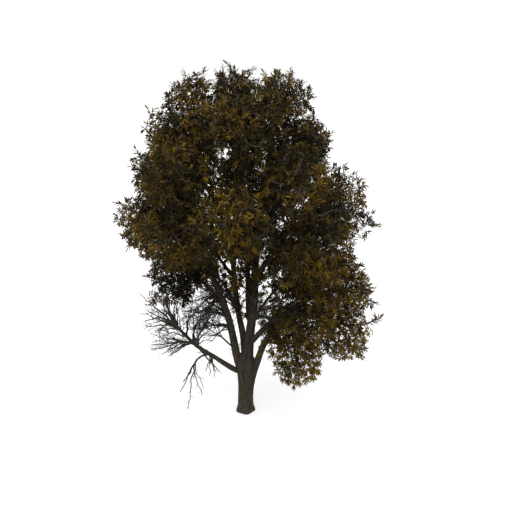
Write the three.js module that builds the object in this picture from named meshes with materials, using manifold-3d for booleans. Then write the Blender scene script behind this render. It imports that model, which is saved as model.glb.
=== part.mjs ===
// A mature oak tree, built as a trunk, the boughs that spring from it and the masses of foliage they carry.
// Millimetres, +Z up. The origin is the middle of the flat cut under the trunk, at ground level.
// The trunk forks low into several rising stems. One low bough on the -X side has died back to bare twigs.
import * as THREE from "three";
import { mergeVertices } from "three/addons/utils/BufferGeometryUtils.js";
import Module from "manifold-3d";

const wasm = await Module();
wasm.setup();

// ---------------------------------------------------------------- driving dimensions
const METRE = 1000;
const GAP = 0.6; // clearance between pieces that meet
const RING_SPACING = 0.9 * METRE; // along a bough
const TRUNK_RADIUS = 0.37 * METRE; // at breast height
const TRUNK_TOP = 2.4 * METRE; // the stems part from each other above here
const FLARE_HEIGHT = 0.34 * METRE; // how quickly the root flare dies away upwards
const FLARE_SPREAD = 0.3; // how far the flare adds to the radius at ground level
const FLARE_TOES = 5; // root buttresses round the foot
const FORK_SWELL = new THREE.Vector2(0.3, 0.08); // widening of the trunk under the fork, along X and Y
const MASS_DETAIL = 2; // icosahedron subdivision of a mass: 180 facets
const SMALL_MASS = 0.6 * METRE; // a mass with a half-size under this has a coarser surface
const MASS_LUMPS = 12; // rounded swellings on each mass
const LUMP_HEIGHT = 0.26; // height of a swelling, as a part of the mass's radius
const LUMP_WIDTH = 8; // sharpness of a swelling
const TIP_WIDTH = 22; // sharpness of a shoot that stands out
const BARK = { color: 0x4a4438, roughness: 0.95, metalness: 0 };
const LEAF = { color: 0x4f3a16, roughness: 0.8, metalness: 0 };
const TWIG = { color: 0x55504a, roughness: 0.95, metalness: 0 };

const at = (x, y, z) => new THREE.Vector3(x, y, z).multiplyScalar(METRE);

// ---------------------------------------------------------------- masses of foliage and of bare twigs
// Each has its middle, its half-sizes along X, Y and Z, and the tips of any shoots that stand out from it.
// -X is the side of the dead bough, and -Y is the side where the crown stands open and shows its stems.
const FOLIAGE = {
  crown_top: [at(-0.5, 0.1, 14.15), at(1.75, 1.8, 1.6), at(-0.64, 0, 15.95), at(0.47, 0, 15.75)],
  crown_top_left: [at(-1.75, -0.1, 13.95), at(1.65, 1.8, 1.55), at(-2.4, -0.1, 15.65), at(-1.5, 0, 15.72)],
  crown_top_right: [at(1.35, -0.1, 14.1), at(1.55, 1.8, 1.45), at(1.9, 0, 15.7), at(2.95, 0, 14.6), at(0.74, 0, 15.65)],
  crown_top_back: [at(0.1, 2.4, 13.4), at(2.4, 1.9, 1.9)],
  crown_top_front: [at(-0.2, -2.1, 13.1), at(2.2, 1.7, 1.8)],
  upper_left: [at(-2.8, 0.1, 12.8), at(1.2, 1.9, 1.3), at(-4.2, 0, 13.3), at(-3.95, 0, 14.2)],
  upper_right: [at(2.35, 0.1, 12.7), at(1.1, 2.0, 1.5), at(3.7, 0, 13.2)],
  upper_back_left: [at(-2.6, 2.7, 11.9), at(1.8, 1.8, 1.9)],
  upper_back_right: [at(2.3, 2.8, 11.8), at(1.7, 1.8, 1.9)],
  upper_front_left: [at(-2.2, -2.6, 11.7), at(1.8, 1.6, 1.7)],
  upper_front_right: [at(1.7, -2.7, 11.5), at(1.9, 1.6, 1.8)],
  shoulder_left: [at(-3.4, 0, 11.3), at(1.3, 2.0, 1.25), at(-4.85, 0, 11.8), at(-4.55, 0, 12.6)],
  middle_left: [at(-3.95, -0.2, 9.45), at(1.3, 2.0, 1.3), at(-5.64, 0, 10.3), at(-5.7, 0, 9.4)],
  middle_right: [at(3.85, -0.1, 10.2), at(1.4, 2.0, 1.6), at(5.1, 0, 11.35), at(5.9, 0, 9.15), at(4.25, 0, 11.95), at(5.3, 0, 8.55)],
  middle_front: [at(-0.4, -3.6, 10.4), at(2.1, 1.4, 1.7)],
  middle_front_left: [at(-2.5, -2.5, 9.45), at(1.7, 1.6, 1.4)],
  middle_front_right: [at(2.6, -2.7, 8.9), at(1.9, 1.5, 1.6)],
  middle_back: [at(0.1, 4.0, 10.1), at(2.3, 1.6, 2.0)],
  middle_back_left: [at(-3.3, 2.7, 9.2), at(1.8, 1.8, 1.7)],
  middle_back_right: [at(3.4, 2.8, 9.0), at(1.8, 1.8, 1.8)],
  lower_left: [at(-3.0, 0.4, 7.05), at(1.2, 1.5, 1.35), at(-4.66, 0.3, 6.75), at(-3.9, 0.3, 5.95), at(-1.95, 0.1, 6.3)],
  lower_right: [at(4.3, 0, 6.25), at(1.4, 2.0, 1.65), at(5.9, 0, 6.3), at(6.15, -0.1, 5.55)],
  lower_right_front: [at(2.6, -2.0, 6.3), at(1.7, 1.4, 1.6)],
  lower_right_inner: [at(2.1, -0.7, 4.8), at(1.1, 1.0, 1.0)],
  lower_right_foot: [at(4.45, -0.6, 4.2), at(1.2, 1.4, 1.15), at(6.25, -0.2, 5.1), at(5.45, -0.6, 3.1)],
  lower_right_droop: [at(2.3, -2.0, 3.85), at(1.1, 1.1, 1.25), at(2.15, -2.1, 2.45), at(1.0, -1.9, 3.85)],
  lower_back: [at(0.1, 4.0, 7.7), at(1.9, 1.5, 1.5)],
  lower_back_left: [at(-2.4, 3.0, 6.8), at(1.5, 1.5, 1.4)],
  lower_back_right: [at(2.6, 2.9, 6.2), at(1.8, 1.7, 1.7)],
  stem_clump: [at(-0.27, -0.75, 7.0), at(0.42, 0.38, 0.72)],
};

const BARE_TWIGS = {
  bare_fan_upper: [at(-3.7, -0.5, 5.4), at(0.9, 0.9, 0.9), at(-4.6, -0.5, 6.28), at(-4.72, -0.5, 5.2), at(-4.62, -0.6, 4.7)],
  bare_fan_lower: [at(-3.6, -0.75, 4.05), at(0.85, 0.65, 0.55), at(-4.45, -0.8, 4.3), at(-4.2, -0.8, 3.4), at(-3.55, -0.8, 3.25)],
  bare_spray_hanging: [at(-2.4, -0.75, 1.8), at(0.5, 0.4, 1.1), at(-2.7, -0.8, 0.55), at(-3.0, -0.8, 1.45)],
  bare_twigs_under_bough: [at(-1.5, -0.38, 2.38), at(0.36, 0.27, 0.4)],
  bare_thicket: [at(-1.95, -0.25, 5.2), at(1.05, 0.85, 0.95), at(-1.75, -0.35, 3.7)],
};

// ---------------------------------------------------------------- boughs
// Each springs from its parent at the first point, inside it, and tapers from the first radius to the
// second along a smooth curve through the points. It ends where it enters the mass that it carries.
const BOUGHS = {
  leader: {
    through: [at(0.1, 0, 2.0), at(0.17, 0, 3.4), at(0.28, 0, 4.5), at(0.43, -0.1, 5.8), at(0.47, -0.2, 7.4),
      at(0.75, -0.1, 10)],
    radii: [0.29, 0.1], carries: "crown_top_right",
  },
  leader_twin: {
    through: [at(0.24, 0.08, 3.9), at(0.17, 0.25, 5.2), at(0.14, 0.4, 6.8), at(0.02, 0.5, 9), at(-0.3, 0.4, 11.5)],
    radii: [0.17, 0.08], carries: "crown_top",
  },
  stem_left: {
    through: [at(-0.14, 0, 2.0), at(-0.43, -0.08, 3.1), at(-0.64, -0.1, 4.5), at(-1.06, -0.2, 6), at(-1.45, -0.3, 7.1),
      at(-1.85, -0.4, 8.8), at(-2.2, -0.3, 11)],
    radii: [0.23, 0.08], carries: "crown_top_left",
  },
  stem_middle: {
    through: [at(0.0, 0.14, 2.0), at(-0.05, 0.28, 3.5), at(-0.36, 0.5, 5.2), at(-0.5, 0.85, 6.6), at(-0.8, 1.3, 8.6)],
    radii: [0.2, 0.09], carries: "upper_back_left",
  },
  stem_right: {
    through: [at(0.27, 0, 1.7), at(0.48, -0.05, 2.35), at(0.7, -0.25, 3.2), at(0.98, -0.45, 4.0), at(1.6, -0.3, 4.9),
      at(2.6, 0.1, 5.6)],
    radii: [0.2, 0.11], carries: "lower_right",
  },
  bough_right: {
    through: [at(0.22, -0.05, 3.5), at(0.82, -0.45, 4.5), at(1.3, -0.8, 5.15)],
    radii: [0.145, 0.11], carries: "lower_right_front",
  },
  bough_droop: {
    through: [at(0.82, -0.32, 3.5), at(1.15, -0.7, 4.0), at(1.6, -1.3, 4.1)],
    radii: [0.09, 0.055], carries: "lower_right_droop",
  },
  bough_low_left: {
    through: [at(-0.2, 0, 1.98), at(-0.75, -0.15, 2.42), at(-1.3, -0.28, 2.93), at(-1.8, -0.4, 3.3), at(-2.27, -0.48, 3.72),
      at(-2.7, -0.5, 4.22)],
    radii: [0.155, 0.07], carries: "bare_fan_upper",
  },
  bough_outer_left: {
    through: [at(-2.2, -0.47, 3.7), at(-2.6, -0.6, 3.92)],
    radii: [0.07, 0.05], carries: "bare_fan_lower",
  },
  bough_hanging: {
    through: [at(-1.7, -0.38, 3.2), at(-2.05, -0.55, 3.17), at(-2.3, -0.7, 2.95)],
    radii: [0.06, 0.04], carries: "bare_spray_hanging",
  },
  bough_thin_left: {
    through: [at(-0.44, -0.09, 3.12), at(-0.9, -0.15, 3.78), at(-1.27, -0.2, 4.2), at(-1.6, -0.22, 4.3)],
    radii: [0.055, 0.035], carries: "bare_thicket",
  },
  bough_lower_left: {
    through: [at(-0.9, -0.17, 5.6), at(-1.6, 0.1, 6.3), at(-2.3, 0.4, 6.8)],
    radii: [0.1, 0.06], carries: "lower_left",
  },
  bough_left: {
    through: [at(-1.5, -0.3, 7.3), at(-2.2, -0.35, 8.3)],
    radii: [0.11, 0.06], carries: "middle_left",
  },
  bough_front_left: {
    through: [at(-1.25, -0.25, 6.6), at(-1.7, -1.1, 7.8)],
    radii: [0.1, 0.06], carries: "middle_front_left",
  },
  bough_front: {
    through: [at(0.5, -0.2, 7.0), at(0.2, -1.3, 8.4)],
    radii: [0.1, 0.06], carries: "middle_front",
  },
  bough_front_right: {
    through: [at(0.49, -0.15, 6.4), at(0.9, -1.5, 8.0), at(1.5, -2.1, 8.95), at(2.3, -2.0, 9.7)],
    radii: [0.1, 0.06], carries: "middle_right",
  },
  bough_back_left: {
    through: [at(-0.48, 0.8, 6.4), at(-1.5, 1.6, 7.6)],
    radii: [0.1, 0.06], carries: "middle_back_left",
  },
  bough_back: {
    through: [at(0.14, 0.42, 7.0), at(0.15, 1.7, 8.4)],
    radii: [0.1, 0.06], carries: "middle_back",
  },
  bough_back_right: {
    through: [at(0.49, -0.15, 6.8), at(1.4, 1.1, 8.0)],
    radii: [0.1, 0.06], carries: "middle_back_right",
  },
  bough_low_back_right: {
    through: [at(0.3, 0, 4.4), at(1.0, 1.0, 5.3)],
    radii: [0.11, 0.06], carries: "lower_back_right",
  },
  bough_stem_clump: {
    through: [at(0.46, -0.15, 5.9), at(0.2, -0.5, 6.3), at(-0.05, -0.7, 6.7)],
    radii: [0.045, 0.03], carries: "stem_clump",
  },
  bough_low_back_left: {
    through: [at(-0.25, 0.43, 4.7), at(-0.9, 1.4, 5.8)],
    radii: [0.1, 0.06], carries: "lower_back_left",
  },
};

// ---------------------------------------------------------------- shapes
// A repeatable number from 0 to 1 for each pair of whole numbers.
function chance(a, b) {
  const s = Math.sin(a * 127.1 + b * 311.7) * 43758.5453;
  return s - Math.floor(s);
}

// A limb: a cylinder bent along the curve, with its radius given by its place along the limb and round it.
function limb(curve, radiusAt, sides, rings, reach = 1) {
  const shape = new THREE.CylinderGeometry(1, 1, 1, sides, rings);
  const frames = curve.computeFrenetFrames(rings, false);
  const position = shape.getAttribute("position");
  const v = new THREE.Vector3();
  for (let i = 0; i < position.count; i++) {
    v.fromBufferAttribute(position, i);
    const ring = Math.round((v.y + 0.5) * rings);
    const t = (ring / rings) * reach;
    const radius = radiusAt(t, Math.atan2(v.z, v.x));
    const point = curve.getPointAt(t);
    point.addScaledVector(frames.normals[ring], v.x * radius);
    point.addScaledVector(frames.binormals[ring], -v.z * radius);
    position.setXYZ(i, point.x, point.y, point.z);
  }
  return shape;
}

// The trunk stands upright, so its rings stay level and its foot is flat.
function trunkShape(extra) {
  const lean = new THREE.LineCurve3(at(0, 0, 0), new THREE.Vector3(0.05 * METRE, 0, TRUNK_TOP));
  const sides = 18;
  const rings = 8;
  const shape = new THREE.CylinderGeometry(1, 1, 1, sides, rings);
  const position = shape.getAttribute("position");
  for (let i = 0; i < position.count; i++) {
    const across = position.getX(i);
    const depth = -position.getZ(i);
    const share = Math.round((position.getY(i) + 0.5) * rings) / rings;
    const t = share ** 1.5; // rings close together at the foot, where the flare turns
    const height = t * TRUNK_TOP;
    const angle = Math.atan2(depth, across);
    const toes = 0.65 + 0.35 * Math.cos(FLARE_TOES * angle + 0.6);
    const flare = FLARE_SPREAD * toes * Math.exp(-height / FLARE_HEIGHT);
    const wide = TRUNK_RADIUS * (1 + flare + FORK_SWELL.x * t ** 3) + extra;
    const deep = TRUNK_RADIUS * (1 + flare + FORK_SWELL.y * t ** 3) + extra;
    const point = lean.getPoint(t);
    const drop = share === 0 ? -extra : share === 1 ? extra : 0;
    position.setXYZ(i, point.x + across * wide, point.y + depth * deep, point.z + drop);
  }
  return shape;
}

// Half-size of an ellipsoid in a direction.
function ellipsoid(size, way) {
  return 1 / Math.hypot(way.x / size.x, way.y / size.y, way.z / size.z);
}

// How far a mass reaches from its middle in a direction: a lumpy ellipsoid, stopped where the neighbours begin.
function reachOf(mass, way) {
  let swell = 1 - LUMP_HEIGHT * 0.6;
  for (const lump of mass.lumps) {
    swell += LUMP_HEIGHT * lump.height * Math.exp(LUMP_WIDTH * (lump.way.dot(way) - 1));
  }
  let reach = ellipsoid(mass.size, way) * swell;
  for (const tip of mass.tips) {
    const share = Math.exp(TIP_WIDTH * (tip.way.dot(way) - 1));
    reach += Math.max(0, tip.length - reach) * share;
  }
  for (const wall of mass.walls) {
    const towards = wall.way.dot(way);
    if (towards > 1e-6) reach = Math.min(reach, wall.distance / towards);
  }
  return reach;
}

// Each mass gets its lumps, and flat walls between it and every neighbour, shared by the two masses' sizes.
function layOutMasses(table) {
  const masses = Object.entries(table).map(([name, [middle, size, ...shoots]], n) => {
    const lumps = [];
    for (let i = 0; i < MASS_LUMPS; i++) {
      const height = 1 - (2 * (i + 0.5)) / MASS_LUMPS;
      const turn = i * Math.PI * (3 - Math.sqrt(5)) + 6.3 * chance(n, 1);
      const level = Math.sqrt(1 - height * height);
      const way = new THREE.Vector3(level * Math.cos(turn), level * Math.sin(turn), height);
      lumps.push({ way, height: 0.3 + 0.9 * chance(n, i + 2) });
    }
    const tips = shoots.map((shoot) => {
      const way = shoot.clone().sub(middle);
      const length = way.length();
      return { way: way.normalize(), length };
    });
    return { name, middle, size, lumps, tips, walls: [] };
  });
  for (const a of masses) {
    for (const b of masses) {
      if (a === b) continue;
      const way = b.middle.clone().sub(a.middle);
      const apart = way.length();
      way.normalize();
      const mine = ellipsoid(a.size, way);
      const theirs = ellipsoid(b.size, way);
      a.walls.push({ way, distance: (apart * mine) / (mine + theirs) - GAP });
    }
  }
  return masses;
}

// The corner that lies nearest a shoot is turned onto it, so that the mass reaches the shoot's very tip.
function massShape(mass, extra) {
  const shape = new THREE.IcosahedronGeometry(1, mass.size.x < SMALL_MASS ? MASS_DETAIL - 1 : MASS_DETAIL);
  const position = shape.getAttribute("position");
  const ways = [];
  for (let i = 0; i < position.count; i++) {
    ways.push(new THREE.Vector3().fromBufferAttribute(position, i).normalize());
  }
  for (const tip of mass.tips) {
    const nearest = ways.reduce((best, way) => (tip.way.dot(way) > tip.way.dot(best) ? way : best)).clone();
    for (const way of ways) if (way.distanceTo(nearest) < 1e-5) way.copy(tip.way);
  }
  ways.forEach((way, i) => {
    const point = mass.middle.clone().addScaledVector(way, reachOf(mass, way) + extra);
    position.setXYZ(i, point.x, point.y, point.z);
  });
  return shape;
}

// ---------------------------------------------------------------- solids
// A geometry as a manifold-3d solid, and back as a geometry.
function toSolid(geometry) {
  const bare = new THREE.BufferGeometry();
  bare.setAttribute("position", geometry.getAttribute("position"));
  if (geometry.index) bare.setIndex(geometry.index);
  const merged = mergeVertices(bare, 1e-3);
  return new wasm.Manifold(
    new wasm.Mesh({
      numProp: 3,
      vertProperties: new Float32Array(merged.getAttribute("position").array),
      triVerts: new Uint32Array(merged.index.array),
    }),
  );
}

function toGeometry(solid) {
  const mesh = solid.getMesh();
  const geometry = new THREE.BufferGeometry();
  geometry.setAttribute("position", new THREE.BufferAttribute(mesh.vertProperties, 3));
  geometry.setIndex(new THREE.BufferAttribute(mesh.triVerts, 1));
  geometry.computeVertexNormals();
  return geometry;
}

// A cut can leave crumbs beside the piece itself, so the largest body is kept.
function largest(solid) {
  return solid.decompose().reduce((best, body) => (body.volume() > best.volume() ? body : best));
}

function cutBy(solid, tools) {
  let left = solid;
  for (const tool of tools) left = left.subtract(tool);
  return largest(left);
}

// ---------------------------------------------------------------- the tree
const masses = layOutMasses({ ...FOLIAGE, ...BARE_TWIGS });
const massNamed = Object.fromEntries(masses.map((mass) => [mass.name, mass]));

// The share of a curve's length at which it first comes inside a mass.
function entry(curve, mass) {
  const steps = 200;
  for (let i = 0; i <= steps; i++) {
    const way = curve.getPointAt(i / steps).sub(mass.middle);
    const far = way.length();
    if (far < reachOf(mass, way.normalize())) return i / steps;
  }
  return 1;
}

const wood = [{ name: "trunk", solid: toSolid(trunkShape(0)), tool: toSolid(trunkShape(GAP)) }];

for (const [name, bough] of Object.entries(BOUGHS)) {
  const mass = massNamed[bough.carries];
  const whole = new THREE.CatmullRomCurve3([...bough.through, mass.middle], false, "centripetal");
  const [first, last] = bough.radii.map((radius) => radius * METRE);
  const end = entry(whole, mass);
  const sides = first > 0.12 * METRE ? 9 : 6;
  const length = whole.getLength() * end;
  const rings = Math.max(3, Math.round(length / RING_SPACING));
  const overshoot = Math.min(1, end + (1.5 * last) / whole.getLength());
  const kept = new THREE.CatmullRomCurve3(whole.getSpacedPoints(60).slice(0, 1 + Math.ceil(60 * overshoot)));
  const taper = (extra) => (t) => first + (last - first) * t ** 0.7 + extra;
  const solid = toSolid(limb(kept, taper(0), sides, rings));
  const tool = toSolid(limb(kept, taper(GAP), sides, rings));
  const stop = toSolid(massShape(mass, 4 * GAP));
  wood.push({ name, solid: cutBy(solid, [...wood.map((piece) => piece.tool), stop]), tool, carries: bough.carries });
}

const tree = new THREE.Group();
function place(name, solid, finish) {
  const mesh = new THREE.Mesh(toGeometry(solid), new THREE.MeshStandardMaterial(finish));
  mesh.name = name;
  tree.add(mesh);
}

for (const piece of wood) place(piece.name, piece.solid, BARK);

// A mass is cut round any bough that passes through it on the way to another mass.
for (const mass of masses) {
  const passing = wood.filter((piece) => piece.carries !== mass.name).map((piece) => piece.tool);
  const leafy = mass.name in FOLIAGE;
  const name = leafy ? `foliage_${mass.name}` : mass.name;
  place(name, cutBy(toSolid(massShape(mass, 0)), passing), leafy ? LEAF : TWIG);
}

export default tree;
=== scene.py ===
# %% [markdown]
# # A mature oak in late season
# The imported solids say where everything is: a trunk, the boughs that spring from it, the masses of foliage
# that the boughs carry, and a few masses of bare twigs on a low side bough that has died back.
# A tree is built here in the order in which it grows. The limbs are read off the solids and get a skin of
# bark. Branching then carries on from the end of every bough and fills its mass, fork after fork, down to
# twigs. Leaves come last, in sprays at the tips.

# %% Load the solid tree
import math

import bpy
import numpy as np
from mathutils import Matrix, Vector, kdtree
from mathutils.bvhtree import BVHTree


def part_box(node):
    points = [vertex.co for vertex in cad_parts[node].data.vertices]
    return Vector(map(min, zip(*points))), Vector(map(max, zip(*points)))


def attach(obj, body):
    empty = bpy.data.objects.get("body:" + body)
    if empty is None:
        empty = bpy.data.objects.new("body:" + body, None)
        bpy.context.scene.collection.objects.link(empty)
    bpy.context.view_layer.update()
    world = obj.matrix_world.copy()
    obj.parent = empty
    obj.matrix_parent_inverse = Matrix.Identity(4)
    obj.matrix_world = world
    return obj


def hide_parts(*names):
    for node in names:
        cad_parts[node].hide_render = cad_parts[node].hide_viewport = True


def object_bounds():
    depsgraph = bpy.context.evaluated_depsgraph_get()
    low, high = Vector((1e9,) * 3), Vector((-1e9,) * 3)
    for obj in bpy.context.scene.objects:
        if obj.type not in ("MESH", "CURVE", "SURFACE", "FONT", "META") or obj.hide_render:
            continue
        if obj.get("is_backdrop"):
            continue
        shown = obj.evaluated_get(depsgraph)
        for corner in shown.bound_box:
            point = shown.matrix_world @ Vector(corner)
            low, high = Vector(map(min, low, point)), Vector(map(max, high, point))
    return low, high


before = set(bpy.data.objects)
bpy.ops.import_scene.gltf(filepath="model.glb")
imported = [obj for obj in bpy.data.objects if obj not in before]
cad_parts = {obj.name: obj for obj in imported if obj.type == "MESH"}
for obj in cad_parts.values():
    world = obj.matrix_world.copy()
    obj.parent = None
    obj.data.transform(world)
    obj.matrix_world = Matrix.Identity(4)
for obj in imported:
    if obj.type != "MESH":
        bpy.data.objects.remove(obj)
SOLID_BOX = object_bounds()
HEIGHT = SOLID_BOX[1][2]
print(f"solid tree: {len(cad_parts)} pieces, {HEIGHT:.2f} m tall")

# %% [markdown]
# ## What grows from what
# Every bough springs from a parent and carries one mass. Writing it down as a table of names keeps the rest
# of the script free of positions: those are measured on the solids. The bare thicket beside the left stem is
# fed from several places, as the arching dead branches there are.

# %% Name the boughs and what they carry
CARRIES = {
    "leader": ("trunk", "foliage_crown_top_right"),
    "leader_twin": ("leader", "foliage_crown_top"),
    "stem_left": ("trunk", "foliage_crown_top_left"),
    "stem_middle": ("trunk", "foliage_upper_back_left"),
    "stem_right": ("trunk", "foliage_lower_right"),
    "bough_right": ("leader", "foliage_lower_right_front"),
    "bough_droop": ("stem_right", "foliage_lower_right_droop"),
    "bough_low_left": ("trunk", "bare_fan_upper"),
    "bough_outer_left": ("bough_low_left", "bare_fan_lower"),
    "bough_hanging": ("bough_low_left", "bare_spray_hanging"),
    "bough_thin_left": ("stem_left", "bare_thicket"),
    "bough_lower_left": ("stem_left", "foliage_lower_left"),
    "bough_left": ("stem_left", "foliage_middle_left"),
    "bough_front_left": ("stem_left", "foliage_middle_front_left"),
    "bough_front": ("leader", "foliage_middle_front"),
    "bough_front_right": ("leader", "foliage_middle_right"),
    "bough_back_left": ("stem_middle", "foliage_middle_back_left"),
    "bough_back": ("leader_twin", "foliage_middle_back"),
    "bough_back_right": ("leader", "foliage_middle_back_right"),
    "bough_low_back_right": ("leader", "foliage_lower_back_right"),
    "bough_low_back_left": ("stem_middle", "foliage_lower_back_left"),
    "bough_stem_clump": ("leader", "foliage_stem_clump"),
}
MASSES = sorted(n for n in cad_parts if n.startswith(("foliage_", "bare_")))
LIMBS = ["trunk", *CARRIES]
missing = [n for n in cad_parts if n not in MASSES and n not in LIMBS]
print(f"{len(LIMBS)} limbs, {len(MASSES)} masses, unnamed: {missing}")

# %% [markdown]
# ## Read each limb off its solid
# A limb is known by its middle line and its radius along that line. A forester would take the saw to it, and
# so does this step: it cuts the solid across at even steps, and each cut face gives a middle and, from its
# area, a radius. This works on any faceted solid, whatever its mesh looks like, as long as the limb never
# turns back on itself.


# %% Saw a limb into slices
def solid_mesh(node):
    """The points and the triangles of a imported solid."""
    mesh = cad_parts[node].data
    mesh.calc_loop_triangles()
    points = np.empty(len(mesh.vertices) * 3)
    mesh.vertices.foreach_get("co", points)
    corners = np.empty(len(mesh.loop_triangles) * 3, np.int32)
    mesh.loop_triangles.foreach_get("vertices", corners)
    return points.reshape(-1, 3), corners.reshape(-1, 3)


def cut_face(points, corners, across, level):
    """The middle and the area of the cut at one level along a direction."""
    height = points @ across - level
    over = height[corners]
    crossed = corners[(over.min(1) < 0) & (over.max(1) > 0)]
    # The saw meets two sides of every triangle that it crosses, and the third one comes out as nan.
    ends = []
    for i, j in ((0, 1), (1, 2), (2, 0)):
        hi, hj = height[crossed[:, i]], height[crossed[:, j]]
        share = np.where(hi * hj < 0, hi / np.where(hi == hj, 1, hi - hj), np.nan)[:, None]
        ends.append(points[crossed[:, i]] * (1 - share) + points[crossed[:, j]] * share)
    ends = np.stack(ends, 1)
    whole = (~np.isnan(ends[:, :, 0])).sum(1) == 2
    if whole.sum() < 3:
        return None
    pairs = np.array([e[~np.isnan(e[:, 0])] for e in ends[whole]])
    hub = pairs.reshape(-1, 3).mean(0)
    areas = 0.5 * np.linalg.norm(np.cross(pairs[:, 0] - hub, pairs[:, 1] - hub), axis=1)
    middle = ((pairs.sum(1) + hub) / 3 * areas[:, None]).sum(0) / areas.sum()
    return middle, areas.sum()


points, corners = solid_mesh("trunk")
middle, area = cut_face(points, corners, np.array([0, 0, 1.0]), 1.5)
print(f"trunk: {len(corners)} triangles, and {area:.2f} square metres of wood where it is cut 1.5 m up")


# %% Read every limb from foot to tip
# Metres between cuts, the share of the full radius that a whole cut has, and how many radii of the tip to
# leave out.
SAW_STEP, FEWEST_CUTS = 0.22, 6
WHOLE_CUT, TIP_LEFT = 0.97, 0.5


def unit(v):
    """A direction, or each of several, made one unit long."""
    v = np.asarray(v, float)
    return v / np.maximum(np.linalg.norm(v, axis=-1, keepdims=True), 1e-9)


def middle_of(node):
    """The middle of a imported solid's box."""
    low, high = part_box(node)
    return np.array((low + high) / 2)


def read_limb(node, foot_near):
    """A limb's middle line from foot to tip, and its radius at each point."""
    points, corners = solid_mesh(node)
    across = np.linalg.svd(points - points.mean(0), full_matrices=False)[2][0]
    if (foot_near - points.mean(0)) @ across > 0:
        across = -across
    low, high = (points @ across).min(), (points @ across).max()
    count = max(FEWEST_CUTS, int((high - low) / SAW_STEP))
    cuts = [cut_face(points, corners, across, low + (high - low) * (i + 0.5) / count) for i in range(count)]
    cuts = [c for c in cuts if c is not None]
    line = np.array([c[0] for c in cuts])
    lean = unit(np.gradient(line, axis=0)) @ across
    radius = np.sqrt(np.array([c[1] for c in cuts]) * np.abs(lean) / math.pi)
    # A limb only tapers, so a cut smaller than one further out went through a slanting end, and is left out.
    whole = np.maximum.accumulate(radius[::-1])[::-1]
    kept = (radius > WHOLE_CUT * whole) & (line @ across < high - TIP_LEFT * np.median(radius))
    return line[kept], whole[kept]


limbs = {}
for name, (parent, mass) in CARRIES.items():
    away = middle_of(name) - middle_of(mass)
    line, radius = read_limb(name, middle_of(name) + away)
    limbs[name] = {"line": line, "radius": radius}
    print(f"{name}: {len(line)} cuts, {radius[0] * 1000:.0f} to {radius[-1] * 1000:.0f} mm")


# %% [markdown]
# ## Root each limb in its parent
# The solids only touch. Wood does not: a bough starts at its parent's heart, runs with the parent's grain
# for a while and then swings out, which is why the join is a smooth curve with a thick collar. Each middle
# line is led back into its parent along such a curve. A stem that rises steeply from the trunk is led far
# down the trunk's side instead, where it shows as a rib, and the hollows between the ribs are the trunk's
# flutes.


# %% Lead the limbs back to their parents
# How strongly a curve keeps its first direction, as a share of its length.
SWING_PULL = 0.4
TRUNK_RADIUS, TRUNK_POINTS = 0.37, 12
# How far a rib reaches from the trunk's heart, and how high above the ground it starts.
TRUNK_WAIST, RIB_FOOT = 0.35, 0.04
# Limbs steeper than this along the trunk become ribs.
STEEP = 0.8
LEAD_POINTS, SHORTEST_LEAD, LONGEST_LEAD = 8, 0.1, 0.9
# How much thicker a limb is at its root, and the share of its parent's radius that it may have there.
COLLAR, WITHIN_PARENT = 1.12, 0.95


def swing(a, a_way, b, b_way, count):
    """A smooth curve from a to b that leaves and arrives in the given directions."""
    t = np.linspace(0, 1, count)[:, None]
    reach = np.linalg.norm(b - a)
    c1, c2 = a + a_way * reach * SWING_PULL, b - b_way * reach * SWING_PULL
    return a * (1 - t) ** 3 + 3 * c1 * t * (1 - t) ** 2 + 3 * c2 * t**2 * (1 - t) + b * t**3


trunk_low, trunk_top = (np.array(v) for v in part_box("trunk"))
trunk_line = np.linspace([0, 0, 0], [(trunk_low[0] + trunk_top[0]) / 2, 0, trunk_top[2]], TRUNK_POINTS)
limbs["trunk"] = {"line": trunk_line, "radius": np.full(TRUNK_POINTS, TRUNK_RADIUS)}
for name, (parent, _) in CARRIES.items():
    limb, host = limbs[name], limbs[parent]
    start, way = limb["line"][0], unit(limb["line"][1] - limb["line"][0])
    gaps = np.linalg.norm(host["line"] - start, axis=1)
    near = int(np.argmin(gaps))
    host_ways = unit(np.gradient(host["line"], axis=0))
    lean = float(np.clip(way @ host_ways[near], -0.95, 0.95))
    if parent == "trunk" and lean > STEEP:
        side = (start - host["line"][-1]) * [1, 1, 0]
        foot = unit(side) * (TRUNK_WAIST - limb["radius"][0]) + [0, 0, RIB_FOOT]
        foot_way = np.array([0, 0, 1.0])
    else:
        back = min(max(gaps[near] * lean / math.sqrt(1 - lean * lean), SHORTEST_LEAD), LONGEST_LEAD)
        spacing = np.linalg.norm(np.diff(host["line"], axis=0), axis=1).mean()
        seat = max(near - max(1, round(back / spacing)), 0)
        foot, foot_way = host["line"][seat], host_ways[seat]
    lead = swing(foot, foot_way, start, way, LEAD_POINTS)[:-1]
    collar = np.linspace(COLLAR, 1.0, len(lead)) * limb["radius"][0]
    collar = np.minimum(collar, WITHIN_PARENT * host["radius"][near])
    limb["line"] = np.vstack([lead, limb["line"]])
    limb["radius"] = np.concatenate([collar, limb["radius"]])
print("rooted", len(CARRIES), "limbs")

# %% [markdown]
# ## Tubes
# Everything woody is a tube: a ring of points is carried along a line without twisting, and neighbouring
# rings are joined by triangles. Blender's curves with a bevel would make the same shape, but thousands of
# separate curves are slow, and building the rings in numpy lets all the twigs of a mass be one light mesh.


# %% Join rings of points
def between_rings(count, sides):
    """Triangles that join each of several rings of points to the next one."""
    k = np.arange(sides)
    nxt = (k + 1) % sides
    rows = (np.arange(count - 1) * sides)[:, None]
    a, b, c, d = rows + k, rows + nxt, rows + nxt + sides, rows + k + sides
    return np.concatenate([np.stack([a, b, c], -1).reshape(-1, 3), np.stack([a, c, d], -1).reshape(-1, 3)])


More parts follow.
